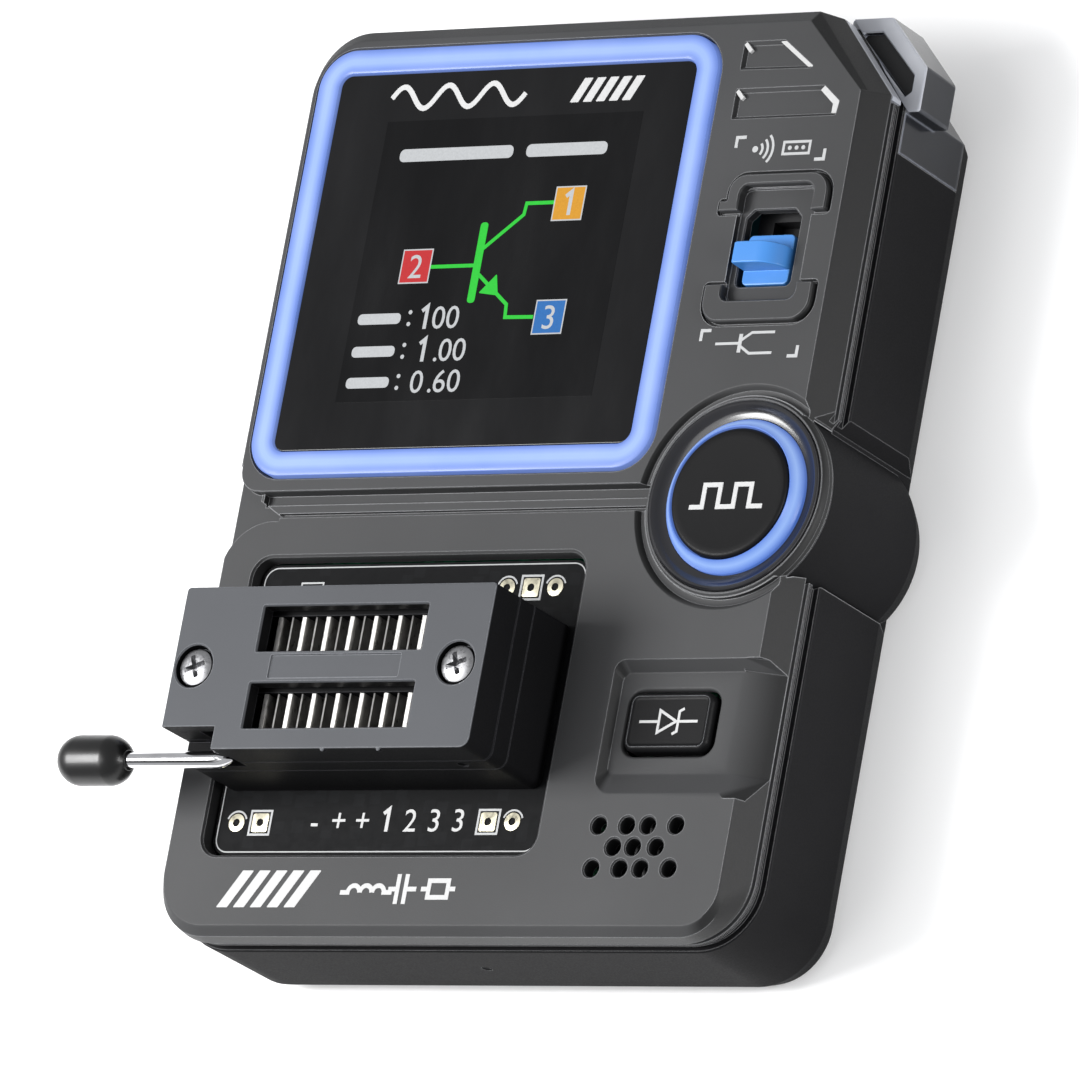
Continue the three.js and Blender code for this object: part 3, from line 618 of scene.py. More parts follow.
def sketch(x, y, low, high, *strokes):
    """Line marks around a place; each stroke is (width, point, point, ...) measured from it."""
    return [line([(x + px, y + py) for px, py in points], width, low, high) for width, *points in strokes]


def slanted(left, bottom, width, height, slant, low, high):
    """Upright-cut stripe that leans to the right."""
    corners = [
        (left, bottom, 0.05), (left + width, bottom, 0.05),
        (left + width + slant, bottom + height, 0.05), (left + slant, bottom + height, 0.05),
    ]
    return slab(corners, low, high, 2)


def stripes(left, right, bottom, top, count, slant, low, high):
    """Row of slanted stripes."""
    step = (right - left - slant) / (count - 0.35)
    return merged(*[
        slanted(left + i * step, bottom, step * 0.65, top - bottom, slant, low, high)
        for i in range(count)
    ])


def glyph(text, x, y, height, low, high):
    """Digits or signs centred on x, standing on y, as a solid; a 1 is drawn with its flag."""
    if text == "1":
        stem = x + 0.06 * height
        flag = [(x - 0.19 * height, y + 0.8 * height), (stem, y + height), (stem, y)]
        return line(flag, 0.17 * height, low, high)
    curve = bpy.data.curves.new("glyph", "FONT")
    curve.body = text
    curve.size = height / 0.7
    curve.extrude = (high - low) / 2
    curve.resolution_u = 4
    curve.align_x = "CENTER"
    holder = add_object("glyph", curve)
    bpy.context.view_layer.update()
    mesh = bpy.data.meshes.new_from_object(holder)
    verts = [(x + v.co.x, y + v.co.y, (low + high) / 2 + v.co.z) for v in mesh.vertices]
    faces = [tuple(polygon.vertices) for polygon in mesh.polygons]
    bpy.data.objects.remove(holder)
    bpy.data.curves.remove(curve)
    bpy.data.meshes.remove(mesh)
    return verts, faces


# ---------------------------------------------------------------- case

FACE_INSET = SimpleNamespace(left=1.4, right=1.43, bottom=0.87, top=1.1)
FACE_CUT = ((HALF_W - 1.43, HALF_L - 7.8), (HALF_W - 8.0, HALF_L - 1.1))
SHOULDER = 16.3                   # the end walls stand straight up to here


def between(a, b, t):
    return a + (b - a) * t


def case_outline(side=0.0, ends=0.0):
    """Case outline; side and ends go from 0 at the walls to 1 at the edge of the face."""
    left = -HALF_W + FACE_INSET.left * side
    right = HALF_W - FACE_INSET.right * side
    bottom = -HALF_L + FACE_INSET.bottom * ends
    top = HALF_L - FACE_INSET.top * ends
    low_cut = (right, between(HALF_L - CUT_Y, FACE_CUT[0][1], side))
    high_cut = (between(HALF_W - CUT_X, FACE_CUT[1][0], side), top)
    return [
        (left, bottom, between(CORNER_R, 5.0, side)), (right, bottom, between(CORNER_R, 3.4, side)),
        (*low_cut, 0.25), (*high_cut, 0.25), (left, top, between(CORNER_R, 5.0, side)),
    ]


def shell_level(z, grow=0.0):
    """Outline of the front shell at a height above the seam."""
    side = (z - SEAM_TOP) / (FACE - SEAM_TOP)
    ends = max(0.0, (z - SHOULDER) / (FACE - SHOULDER))
    return z, offset(case_outline(side, ends), grow)


def wall_notches(low, high):
    """Chamfers of the side wall above and below the boss."""
    upper = [
        (HALF_W + 0.45, BOSS_Y + 9.05), (HALF_W - 0.9, BOSS_Y + 7.34), (HALF_W - 0.9, BOSS_Y + 4.7),
        (HALF_W + 3, BOSS_Y + 4.7), (HALF_W + 3, BOSS_Y + 9.05),
    ]
    lower = [
        (HALF_W, BOSS_Y - 6.6), (HALF_W + 3, BOSS_Y - 6.6), (HALF_W + 3, BOSS_Y - 4),
        (HALF_W - 0.85, BOSS_Y - 4), (HALF_W - 0.85, BOSS_Y - 6.9),
    ]
    return slab(list(reversed(upper)), low, high, 2), slab(lower, low, high, 2)


GROOVE_TOP, GROOVE_LOW, GROOVE_DEPTH = -1.3, -3.75, 0.55
LANDING_Z = FACE - 1.0            # low landing where the groove meets the left wall


def groove_cuts():
    """Groove between the screen block and the socket panel: trench, ledge and channel."""
    left = -27.0
    floor = FACE - GROOVE_DEPTH
    cut_low, cut_top = -9.6, 1.2          # stretch of the left wall that steps in
    ledge = loft([
        (floor, rect(left, BOSS_X, GROOVE_LOW + 0.1, GROOVE_TOP - 0.1)),
        (FACE - 0.06, rect(left, BOSS_X, GROOVE_LOW, GROOVE_TOP)),
        (FACE + 0.2, rect(left, BOSS_X, GROOVE_LOW - 0.26, GROOVE_TOP + 0.26)),
    ], 1)
    channel_y, trench_y = GROOVE_LOW + 0.28, GROOVE_TOP - 0.6
    channel = line([(BOSS_X, channel_y), (-24.6, channel_y)], 0.5, floor - 0.45, FACE + 0.1)
    trench = line([(BOSS_X, trench_y), (-26.6, trench_y)], 1.1, FACE - 1.3, FACE + 0.1)
    far = -HALF_W - 2
    landing_edge = [
        (-24.2, -3.6), (-26.9, -2.0), (-26.9, GROOVE_TOP), (-29.3, GROOVE_TOP, 2.2),
        (-29.3, cut_top), (far, cut_top), (far, cut_low), (-29.7, cut_low), (-29.7, -4.0, 5.0),
        (-24.2, -4.0),
    ]
    landing = loft([
        (LANDING_Z, landing_edge), (FACE - 0.08, offset(landing_edge, 0.03)),
        (FACE + 0.3, offset(landing_edge, 0.33)),
    ], 10)

    def wall_edge(shift):
        return [
            (-29.5 - shift, cut_top), (far, cut_top), (far, cut_low), (-29.87 - shift, cut_low),
            (-29.5 - shift, -6.2, 0.5),
        ]

    wall = loft([
        (SEAM_TOP - 0.15, wall_edge(0.95)), (LANDING_Z + 0.05, wall_edge(0)), (FACE + 1, wall_edge(0)),
    ], 5)
    return ledge, channel, trench, landing, wall


KEY_FLANGE = 0.7                  # hidden rim of the second button, under the face
BAY = SimpleNamespace(left=KEY.left - 0.55, bottom=KEY.bottom - 1.15, top=KEY.top + 1.15, low=FACE - 1.0)
BAY_BEND = 27.4                   # from here the floor of the bay slopes down to the side wall


def key_recess():
    """Shallow bay around the second button, open to the case side, with a ramp below."""
    floor, left, bottom, top = BAY.low, BAY.left, BAY.bottom, BAY.top
    right = HALF_W + 5

    def bay(grow_left, grow_bottom, grow_top, low_r, high_r):
        return [
            (left - grow_left, bottom - grow_bottom, low_r), (right, bottom - grow_bottom),
            (right, top + grow_top), (left - grow_left, top + grow_top, high_r),
        ]
    return loft([
        (floor, bay(0, 0, 0, 0.7, 0.8)), (floor + 0.05, bay(0.12, 0.25, 0.1, 0.8, 0.85)),
        (FACE - 0.08, bay(0.48, 2.0, 0.85, 1.5, 1.0)), (FACE + 0.02, bay(0.6, 2.25, 1.0, 1.7, 1.1)),
        (FACE + 0.5, bay(1.0, 3.2, 1.5, 2.2, 1.4)),
    ], 8)


def bay_slope():
    """Sloping outer part of the bay, over the shoulder of the case."""
    fall = (BAY.low - SEAM_TOP) / (HALF_W - BAY_BEND)
    far = HALF_W + 5
    rings = []
    for y, lift in (
        (BAY.bottom - 2.6, 1.3), (BAY.bottom - 0.25, 0.06), (BAY.bottom, 0.0), (BAY.top, 0.0),
        (BAY.top + 0.15, 0.06), (BAY.top + 1.0, 1.3),
    ):
        low = BAY.low + lift
        far_low = low - fall * (far - BAY_BEND)
        rings.append([(BAY_BEND, y, low), (far, y, far_low), (far, y, FACE + 2), (BAY_BEND, y, FACE + 2)])
    return skin(rings)


SOUND_R = 0.78
SOUND_X, SOUND_Y = 15.8, -32.27   # first sound hole
SOUND_PITCH_Y = 1.93
SOUND_ROWS = ((0, 2.9, 5.05, 7.95), (1.85, 3.9, 6.25), (0, 2.9, 5.05, 7.95))


def sound_places():
    """Centres of the sound holes: four, three and four in a row."""
    places = []
    for row, steps in enumerate(SOUND_ROWS):
        places += [(SOUND_X + dx, SOUND_Y - row * SOUND_PITCH_Y) for dx in steps]
    return places


# the two engraved bars with slanted right ends, above the switch
UPPER_BAR = ((16.3, 36.7, 0.1), (24.1, 36.6, 0.1), (20.5, 39.3, 0.1), (16.3, 39.3, 0.1))
LOWER_BAR = ((16.3, 32.1, 0.1), (27.1, 32.1, 0.1), (27.25, 33.4, 0.1), (25.45, 34.9, 0.1),
             (16.3, 34.9, 0.1))


PLATE = SimpleNamespace(left=18.75, right=26.4, bottom=15.25, top=25.6)
SLOT = SimpleNamespace(left=19.35, right=25.0, bottom=16.75, top=23.8)
PLATE_Z = FACE - 0.65


UPPER_BRACKET = (
    (16.9, 23.45, 0.1), (18.9, 23.45, 0.1), (18.9, 25.8, 0.9), (26.5, 25.8, 0.9), (26.5, 23.3, 0.1),
    (28.0, 23.3, 0.2), (28.0, 26.8, 1.9), (17.65, 26.8, 1.6), (17.65, 24.4, 0.1), (16.9, 24.4, 0.15),
)
LOWER_BRACKET = (
    (16.95, 16.7, 0.2), (16.95, 13.2, 1.9), (28.15, 13.2, 1.9), (28.15, 16.7, 0.2),
    (26.4, 16.7, 0.1), (26.4, 15.15, 0.8), (18.75, 15.15, 0.8), (18.75, 16.7, 0.1),
)


def bracket_solid(corners):
    """Raised bracket that holds one end of the switch plate."""
    levels = [(FACE - 0.6, 0), (FACE + 0.28, 0), (FACE + 0.38, -0.05), (FACE + 0.45, -0.16)]
    return stack(corners, levels, 6)


def bracket_moat(corners):
    """Thin groove that runs round a bracket."""
    levels = [(FACE - 0.4, -0.05), (FACE - 0.05, 0.0), (FACE + 0.5, 0.3)]
    return stack(offset(corners, 0.3), levels, 6)


INSIDE = 14                       # a height in the hollow of the front shell, where its cuts start
COLLAR_LOW = 15.98                # the collar of the round button rests on the boss here
CAP_HOLE_R, RING_ROOM_R = 7.35, 8.7


def front_shell():
    """Front of the case: screen block, socket panel, button collar and their recesses."""
    seam = [
        (13.13, -0.45), (13.16, -0.3), (13.38, -0.28), (13.43, -0.62), (14.16, -0.62), (14.2, -0.14),
        (14.26, -0.04), (SEAM_TOP, 0.0),
    ]
    levels = [(z, offset(case_outline(), grow)) for z, grow in seam]
    levels += [shell_level(z) for z in (14.7, 15.4, SHOULDER, 16.42, 16.6, 16.8)]
    levels += [shell_level(16.93), shell_level(FACE, -0.05)]
    hollow = loft([
        (12.5, offset(case_outline(), -2.1)),
        (14.3, offset(case_outline(), -2.1)),
        (15.4, offset(case_outline(1, 1), -1.4)),
    ])
    collar = turned(BOSS_X, BOSS_Y, [
        (CAP_HOLE_R, COLLAR_LOW), (BOSS_R, COLLAR_LOW), (BOSS_R, 16.55), (9.18, 16.75), (9.12, 16.95),
        (9.02, 17.1), (8.88, 17.2), (8.78, 17.2), (RING_ROOM_R, 17.12), (RING_ROOM_R, 16.35),
        (CAP_HOLE_R, 16.35),
    ], BOSS_SIDES, closed=True)
    ring_groove = turned(BOSS_X, BOSS_Y, [
        (9.19, 16.5), (9.55, 16.45), (9.8, 16.52), (10.0, 16.76), (10.2, 16.95), (10.4, 17.04),
        (11.0, 17.6), (9.19, 17.6),
    ], BOSS_SIDES, closed=True)
    switch_plate = stack(rect_of(PLATE, 0.9), [
        (PLATE_Z, 0), (PLATE_Z + 0.05, 0.04), (FACE - 0.05, 0.05), (FACE + 1, 0.05),
    ], 6)
    switch_slot = stack([
        (SLOT.left, SLOT.bottom, 0.5), (SLOT.right, SLOT.bottom, 0.5),
        (SLOT.right, SLOT.top - 0.75, 0.1), (SLOT.right - 0.75, SLOT.top, 0.1),
        (SLOT.left + 0.75, SLOT.top, 0.1), (SLOT.left, SLOT.top - 0.75, 0.1),
    ], [(13.5, 0), (PLATE_Z - 0.12, 0), (PLATE_Z + 0.02, 0.12), (PLATE_Z + 0.1, 0.2)], 4)
    socket_well = stack(rect_of(BOARD, 1.8, 0.3), [
        (INSIDE, 0), (16.6, 0), (16.82, 0.07), (FACE, 0.3), (FACE + 1, 1.3),
    ], 8)
    frame_well = stack(rect_of(LIGHT, 3.6), [
        (INSIDE, 0.14), (16.85, 0.14), (FACE, 0.26), (FACE + 1, 1.2),
    ], 10)
    key_hole = stack(rect_of(KEY, 1.0, -KEY_FLANGE), [
        (INSIDE, 0.3), (15.7, 0.3), (15.88, 0.4), (BAY.low, 0.6), (BAY.low + 0.3, 1.0),
    ], 6)
    upper_notch, lower_notch = wall_notches(12, 18)
    boss_room = disc(BOSS_X, BOSS_Y, BOSS_R + 0.12, 12, COLLAR_LOW, BOSS_SIDES)
    ring_room = disc(BOSS_X, BOSS_Y, RING_ROOM_R + 0.05, 16.35, 18, BOSS_SIDES)
    steps = cut(hollow, boss_room, upper_notch, *groove_cuts(), lower_notch, ring_room)
    steps += join(collar)
    steps += cut(ring_groove, frame_well, socket_well, key_recess(), bay_slope(), key_hole, switch_plate,
                 switch_slot, bracket_moat(UPPER_BRACKET), bracket_moat(LOWER_BRACKET))
    steps += join(bracket_solid(UPPER_BRACKET), bracket_solid(LOWER_BRACKET))
    steps += cut(disc(BOSS_X, BOSS_Y, CAP_HOLE_R, INSIDE, 18, 64))
    for x, y in sound_places():
        steps += cut(turned(x, y, [
            (SOUND_R, INSIDE), (SOUND_R, FACE - 0.14), (SOUND_R + 0.14, FACE), (SOUND_R + 0.6, FACE + 0.5),
        ], 28))
    for corners in (UPPER_BAR, LOWER_BAR):
        steps += cut(stack(corners, [
            (FACE - 0.35, -0.3), (FACE - 0.32, -0.27), (FACE + 0.02, 0.04), (FACE + 0.5, 0.4),
        ], 3))
    mesh = booleans(loft(levels, 14), steps)
    return piece("front_shell", mesh, M_FACE, "shell_front", ["front_cover"])


WINDOW_SIDE, WINDOW_END = 18.5, 30.4            # where the window ends in the end wall and the side wall


def window_region(grow):
    """Corner of the rear shell that the infrared window takes."""
    edge = HALF_W - WALL - grow
    end = HALF_L - WALL - grow
    return slab([
        (HALF_W + 2, WINDOW_END - grow), (HALF_W + 2, HALF_L + 2), (WINDOW_SIDE - grow, HALF_L + 2),
        (WINDOW_SIDE - grow, end), (HALF_W - CUT_X - 0.8 - grow, end),
        (edge, HALF_L - CUT_Y - 0.8 - grow), (edge, WINDOW_END - grow),
    ], 2.2 - grow, SEAM_LOW - 0.1 + grow, 1)


BACK_FIELD = rect(-20, 16, -26, 26, 1.5)        # shallow recess in the back
POST_R, SINK_R, DRILL_R = 2.9, 2.0, 1.2         # screw posts of the back, their sinks and their holes


def rear_shell():
    """Back and walls of the case, with the round boss behind the button."""
    outer = [
        (0.0, -1.02), (0.06, -0.9), (0.6, -0.66), (1.4, -0.36), (2.0, -0.1), (2.35, 0.0), (7.0, 0.0),
        (SEAM_LOW - 0.1, 0.0), (SEAM_LOW, -0.04), (12.04, -0.14), (12.08, -0.62), (12.77, -0.62),
        (12.82, -0.28), (13.04, -0.3), (13.07, -0.45),
    ]
    inner = [(1.6, -2.1), (3.4, -1.6), (SEAM_LOW, -1.6), (12.4, -2.1), (14, -2.1)]
    boss = turned(BOSS_X, BOSS_Y, [
        (BOSS_R - 1.15, 0.0), (BOSS_R - 0.98, 0.1), (BOSS_R - 0.06, 2.1), (BOSS_R, 2.35),
        (BOSS_R, 15.6), (BOSS_R - 0.06, 15.8), (BOSS_R - 0.2, 15.9),
    ], BOSS_SIDES)
    boss_space = disc(BOSS_X, BOSS_Y, BOSS_R - WALL, 1.6, 18, 64)
    keep = slab(rect(HALF_W - 2.05, 40, BOSS_Y - 11, BOSS_Y + 11), -1, 16.5, 1)
    boss_wall = booleans(boss, common(keep))
    boss_solid = ([tuple(v.co / MM) for v in boss_wall.vertices],
                  [tuple(p.vertices) for p in boss_wall.polygons])
    bpy.data.meshes.remove(boss_wall)
    back_field = stack(BACK_FIELD, [(-1, 0.4), (0.0, 0.18), (0.18, 0), (0.2, 0)], 6)
    steps = cut(loft([(z, offset(case_outline(), grow)) for z, grow in inner], 14), *wall_notches(-1, 14))
    steps += join(boss_solid)
    steps += cut(boss_space, window_region(0.06), pin_hole(), port_hole(), back_field)
    for i in range(4):
        screw = span(f"case_screw_{i + 1}")
        sink = turned(screw.x, screw.y, [
            (SINK_R + 0.5, -0.5), (SINK_R + 0.05, 0.05), (SINK_R, 0.2), (SINK_R, 1.7),
        ], 40)
        steps += join(disc(screw.x, screw.y, POST_R, 0.3, 3.4, 32))
        steps += cut(sink, disc(screw.x, screw.y, DRILL_R, 1.5, 13, 24))
    mesh = booleans(loft([(z, offset(case_outline(), grow)) for z, grow in outer], 14), steps)
    return piece("rear_shell", mesh, M_BACK_PAINTED_SHADE, "shell_rear", ["rear_cover"])


def pin_hole():
    """Small blind hole in the lower end wall."""
    x, z = -0.25, 7.2
    path = [(x, -HALF_L + depth, z) for depth in (-1, -0.02, 0.14, 1.0)]
    return tube(path, [0.75, 0.52, 0.38, 0.38], 20)


def port_hole():
    """Rounded opening in the upper end wall for the charging port."""
    port = span("usb_port")
    x, z = port.x, port.z
    half_w, half_h = (port.right - port.left) / 2 + 0.35, (port.high - port.low) / 2 + 0.3
    flat = outline(around(x, z, half_w, half_h, 1.2), 6)
    wide = outline(rect(x - half_w - 0.4, x + half_w + 0.4, z - half_h - 0.4, z + half_h + 0.4, 1.6), 6)
    rings = [(HALF_L - 3, flat), (HALF_L - 0.35, flat), (HALF_L + 0.05, wide), (HALF_L + 1, wide)]
    return skin([[(px, y, pz) for px, pz in points] for y, points in rings])


# ---------------------------------------------------------------- infrared window

def ir_window():
    """Smoky window that wraps the cut corner, its lip under the front shell and its dark inset."""
    strip_top = SEAM_LOW - 0.1
    strip = stack([
        (HALF_W, WINDOW_END, 0.05), (HALF_W, HALF_L - CUT_Y, 0.3), (HALF_W - CUT_X, HALF_L, 0.3),
        (WINDOW_SIDE, HALF_L, 0.05), (WINDOW_SIDE, HALF_L - WALL, 0.05),
        (HALF_W - CUT_X - 0.8, HALF_L - WALL, 0.05), (HALF_W - WALL, HALF_L - CUT_Y - 0.8, 0.05),
        (HALF_W - WALL, WINDOW_END, 0.05),
    ], [(2.2, -0.14), (2.28, -0.04), (2.4, 0), (strip_top, 0)], 3)
    prow = stack([
        (29.0, 34.1), (WINDOW.right, 34.1, 0.25), (WINDOW.right, 38.2, 0.5), (27.9, WINDOW.top, 0.4),
        (23.6, WINDOW.top, 0.25), (23.6, 41.0),
    ], [(7.0, -0.3), (7.12, -0.1), (7.3, 0.0), (11.95, 0.0), (12.12, -0.08), (WINDOW.high, -0.25)], 5)
    behind = slab([
        (10, 30), (HALF_W + 1.2, HALF_L - CUT_Y - 1.68), (HALF_W - CUT_X - 1.2, HALF_L + 1.68),
    ], strip_top, 14, 1)
    inset = stack([
        (30.55, 35.5, 0.05), (31.15, 35.95, 0.15), (31.15, 37.45, 0.2), (27.1, 41.6, 0.2),
        (25.3, 41.6, 0.15), (24.95, 41.25, 0.05),
    ], [(WINDOW.high - 0.55, -0.1), (WINDOW.high - 0.15, 0), (WINDOW.high + 0.1, 0.22),
        (WINDOW.high + 0.6, 0.6)], 3)
    mesh = booleans(prow, cut(behind) + join(strip) + cut(inset))
    made = piece("ir_window_piece", mesh, M_SMOKE, "smoke_window", ["ir_window"])
    paint(made, M_SMOKE_TOP, lambda polygon: polygon.normal.z > 0.3)
    corner = slab([
        (HALF_W + 1, HALF_L - CUT_Y - 0.4), (HALF_W + 1, HALF_L + 1),
        (HALF_W - CUT_X - 0.4, HALF_L + 1), (HALF_W - CUT_X - 0.4, HALF_L - 0.9),
        (HALF_W - 0.9, HALF_L - CUT_Y - 0.4),
    ], 12, 15, 1)
    skirt = stack(case_outline(), [(12.75, -0.05), (12.8, 0.0), (14.05, 0.0), (14.12, -0.06)], 8)
    rim = booleans(skirt, common(corner))
    piece("ir_window_rim", rim, M_SMOKE_TOP, "smoke_window")
    plate = slab([
        (30.5, 35.6, 0.05), (31.05, 36.0, 0.15), (31.05, 37.4, 0.2), (27.05, 41.5, 0.2),
        (25.35, 41.5, 0.15), (25.0, 41.2, 0.05),
    ], WINDOW.high - 0.56, WINDOW.high - 0.5, 3)
    piece("ir_window_inset", plate, M_INNER, "black_plastic")


# ---------------------------------------------------------------- screen and lights

def band(name, corners, profile, material, steps, replaces):
    """Ring-shaped light guide; profile points are (inset, height, brightness across)."""
    rings = []
    across = []
    for inset, z, value in profile:
        ring = [(x, y, z) for x, y in outline(offset(corners, -inset), steps)]
        rings.append(ring)
        across.extend([value] * len(ring))
    made = piece(name, skin(rings, closed=True), material, "light_guide", replaces)
    layer = made.data.attributes.new("across", "FLOAT", "POINT")
    layer.data.foreach_set("value", across)
    return made


def screen():
    """Lit frame round the screen, and the window inside it."""
    width = 2.3
    top = LIGHT.high
    band("screen_light_frame", rect_of(LIGHT, 3.6), [
        (0.0, 15.4, 0), (0.0, top - 0.22, 0), (0.07, top - 0.07, 0), (0.22, top, 0.1),
        (0.55, top, 0.45), (1.0, top, 1.0), (1.4, top, 1.0), (1.85, top, 0.45),
        (width - 0.2, top, 0.1), (width - 0.05, top - 0.08, 0), (width, top - 0.25, 0),
        (width, 15.4, 0),
    ], M_FRAME_LIGHT, 16, ["light_frame"])
    glass = stack(rect_of(LENS, 1.1, 0.2), [
        (15.85, 0), (LENS.high - 0.1, 0), (LENS.high - 0.03, -0.03), (LENS.high, -0.1),
    ], 10)
    piece("screen_window", glass, M_GLASS, "screen_glass", ["screen_lens"])


DISPLAY = SimpleNamespace(
    left=LENS.left + 5.62, right=LENS.right - 4.65,
    bottom=LENS.bottom + 4.17, top=LENS.top - 4.35,
)


def on_display(name, solid, material):
    piece(name, solid, material, "screen_glass", sharp=30, weighted=False)


def display():
    """What the screen shows: a transistor symbol with numbered leads and three readings."""
    base = LENS.high
    on_display("display_area", slab(rect_of(DISPLAY, 0.05), base - 0.01, base + 0.012, 1), M_DISPLAY)
    low, high = base + 0.005, base + 0.03
    x0, y0 = DISPLAY.left, DISPLAY.bottom

    def at(x, y):
        return x0 + x, y0 + y

    bar_x, wire = 12.6, 0.34
    wires = [
        *sketch(x0, y0, low, high, (wire, (7.6, 12.5), (bar_x, 12.5)),
                (wire, (bar_x, 13.8), (16.6, 17.1), (16.7, 18.15), (19.6, 18.15)),
                (wire, (bar_x, 11.9), (16.5, 8.75), (16.6, 7.55), (19.6, 7.5))),
        slab([(*at(bar_x - 0.4, 9.0), 0.3), (*at(bar_x + 0.4, 9.0), 0.3),
              (*at(bar_x + 0.4, 16.5), 0.3), (*at(bar_x - 0.4, 16.5), 0.3)], low, high + 0.004, 4),
        slab([(*at(15.4, 9.6), 0.05), (*at(14.9, 11.6), 0.05), (*at(13.3, 9.9), 0.05)],
             low, high + 0.004, 2),
    ]
    on_display("display_transistor", tiered(wires), M_GREEN)
    for number, x, y, material in (
        ("2", 6.0, 12.6, M_RED), ("1", 21.2, 18.0, M_ORANGE), ("3", 21.3, 7.45, M_AZURE),
    ):
        cx, cy = at(x, y)
        tile = slab(around(cx, cy, 1.6, r=0.08), low, high, 2)
        rim = frame_line(cx, cy, 1.55, 1.55, 0.12, high - 0.01, high + 0.004)
        on_display(f"display_tile_{number}", tile, material)
        on_display(f"display_number_{number}",
                   merged(glyph(number, cx, cy - 1.1, 2.2, high - 0.005, high + 0.012), rim), M_PALE)
    words = []
    title_y = y0 + 23.1
    for left, right in ((x0 + 2.0, x0 + 14.2), (x0 + 15.6, x0 + 24.2)):
        words.append(slab(rect(left, right, title_y - 0.6, title_y + 0.6, 0.5), low, high, 6))
    for row, (reading, y) in enumerate((("100", 6.7), ("1.00", 3.65), ("0.60", 0.75))):
        left, right = at(0.8, 0)[0], at(5.4, 0)[0]
        middle = at(0, y + 1.05)[1]
        words.append(slab(rect(left, right, middle - 0.5, middle + 0.5, 0.42), low, high, 6))
        for dot in (-0.55, 0.55):
            words.append(disc(right + 0.95, middle + dot, 0.2, low, high, 12))
        place = right + (2.6 if row == 0 else 3.0)
        for sign in reading:
            words.append(glyph(sign, place, middle - 1.05, 2.1, low, high))
            place += 0.95 if sign == "." else 1.5
    on_display("display_readings", merged(*words), M_PALE)


def window_print():
    """Plain marks printed above the display: a wave and a row of stripes."""
    low, high = LENS.high - 0.01, LENS.high + 0.03
    left, right = LENS.left + 5.6, LENS.left + 20.0
    middle = LENS.top - 2.15
    wave = []
    count = 64
    for k in range(count + 1):
        t = k / count
        wave.append((between(left, right, t), middle + 1.05 * math.sin(2 * math.pi * 3 * t)))
    on_display("window_wave", line(wave, 0.5, low, high), M_WHITE_PRINT_AND_HIGHLIGHT)
    hatch = stripes(LENS.right - 12.7, LENS.right - 5.1, middle - 1.1, middle + 1.15, 5, 1.2, low, high)
    on_display("window_stripes", hatch, M_WHITE_PRINT_AND_HIGHLIGHT)


# ---------------------------------------------------------------- buttons and switch

def test_button():
    """Bezel, lit ring and cap of the round button."""
    bezel = turned(BOSS_X, BOSS_Y, [
        (7.08, 16.36), (8.66, 16.36), (8.66, 17.2), (8.6, 17.36), (8.48, 17.45), (8.32, 17.45),
        (8.18, 17.36), (7.95, 17.1), (7.7, 16.92), (7.42, 16.82), (7.14, 16.78), (7.08, 16.72),
    ], BOSS_SIDES, closed=True)
    piece("test_bezel_ring", bezel, M_BEZEL, "black_gloss", ["test_bezel"])
    outer = (RING.right - RING.left) / 2
    circle = around(BOSS_X, BOSS_Y, outer, r=outer - 0.01)
    width = outer - (CAP.right - CAP.left) / 2 - 0.1
    foot, top = RING.high, CAP.high - 0.16
    band("test_light_band", circle, [
        (0.0, foot - 1.5, 0), (0.0, foot - 0.1, 0), (0.05, foot, 0.1),
        (width * 0.3, between(foot, top, 0.3), 0.6), (width * 0.5, between(foot, top, 0.5), 1.0),
        (width * 0.7, between(foot, top, 0.7), 0.7), (width - 0.08, top, 0.2), (width, top - 0.05, 0),
        (width, foot - 1.5, 0),
    ], M_RING_LIGHT, 20, ["test_light_ring"])
    r = (CAP.right - CAP.left) / 2
    cap = turned(BOSS_X, BOSS_Y, [
        (r, CAP.low), (r, CAP.high - 0.55), (r - 0.03, CAP.high - 0.32), (r - 0.12, CAP.high - 0.14),
        (r - 0.27, CAP.high - 0.03), (r - 0.45, CAP.high), (r - 0.9, CAP.high - 0.02),
        (r - 2.5, CAP.high - 0.06), (r - 4.5, CAP.high - 0.08),
    ], BOSS_SIDES)
    piece("test_cap", cap, M_BLACK, "black_plastic", ["test_button_cap"], body="test_button")
    low, high = CAP.high - 0.1, CAP.high
    pulse = [(-3.8, -1), (-2.5, -1), (-2.5, 1), (-0.9, 1), (-0.9, -1), (0.7, -1), (0.7, 1), (2.3, 1),
             (2.3, -1), (3.7, -1)]
    mark = sketch(BOSS_X, BOSS_Y - 0.3, low, high, (0.42, *pulse))
    piece("test_mark", *mark, M_WHITE_PRINT_AND_HIGHLIGHT, "black_plastic", body="test_button", weighted=False)


def second_button():
    """Rectangular cap with a raised rim and a symbol."""
    edges = rect_of(KEY, 1.0, -KEY_FLANGE)
    top = KEY.high
    cap = stack(edges, [
        (KEY.low + 0.4, 0), (top - 0.5, 0), (top - 0.3, -0.04), (top - 0.12, -0.14),
        (top - 0.02, -0.28), (top, -0.38), (top - 0.04, -0.46), (top - 0.1, -0.56), (top - 0.12, -0.7),
    ], 10)
    piece("zener_cap", cap, M_BLACK, "black_plastic", ["zener_button"], body="zener_key")
    x, y = KEY.x, KEY.y
    low, high = top - 0.14, top - 0.09
    wire = 0.24
    marks = [
        *sketch(x, y, low, high, (wire, (-3.0, 0), (-1.12, 0)), (wire, (1.12, 0), (3.0, 0))),
        line([(x - 1.0, y - 1.0), (x + 0.8, y), (x - 1.0, y + 1.0)], wire, low, high, closed=True),
        *sketch(x, y, low, high, (wire, (1.45, 1.15), (1.0, 0.9), (1.0, -0.9), (0.55, -1.15))),
    ]
    piece("zener_mark", tiered(marks), M_WHITE_PRINT_AND_HIGHLIGHT, "black_plastic", body="zener_key", weighted=False)


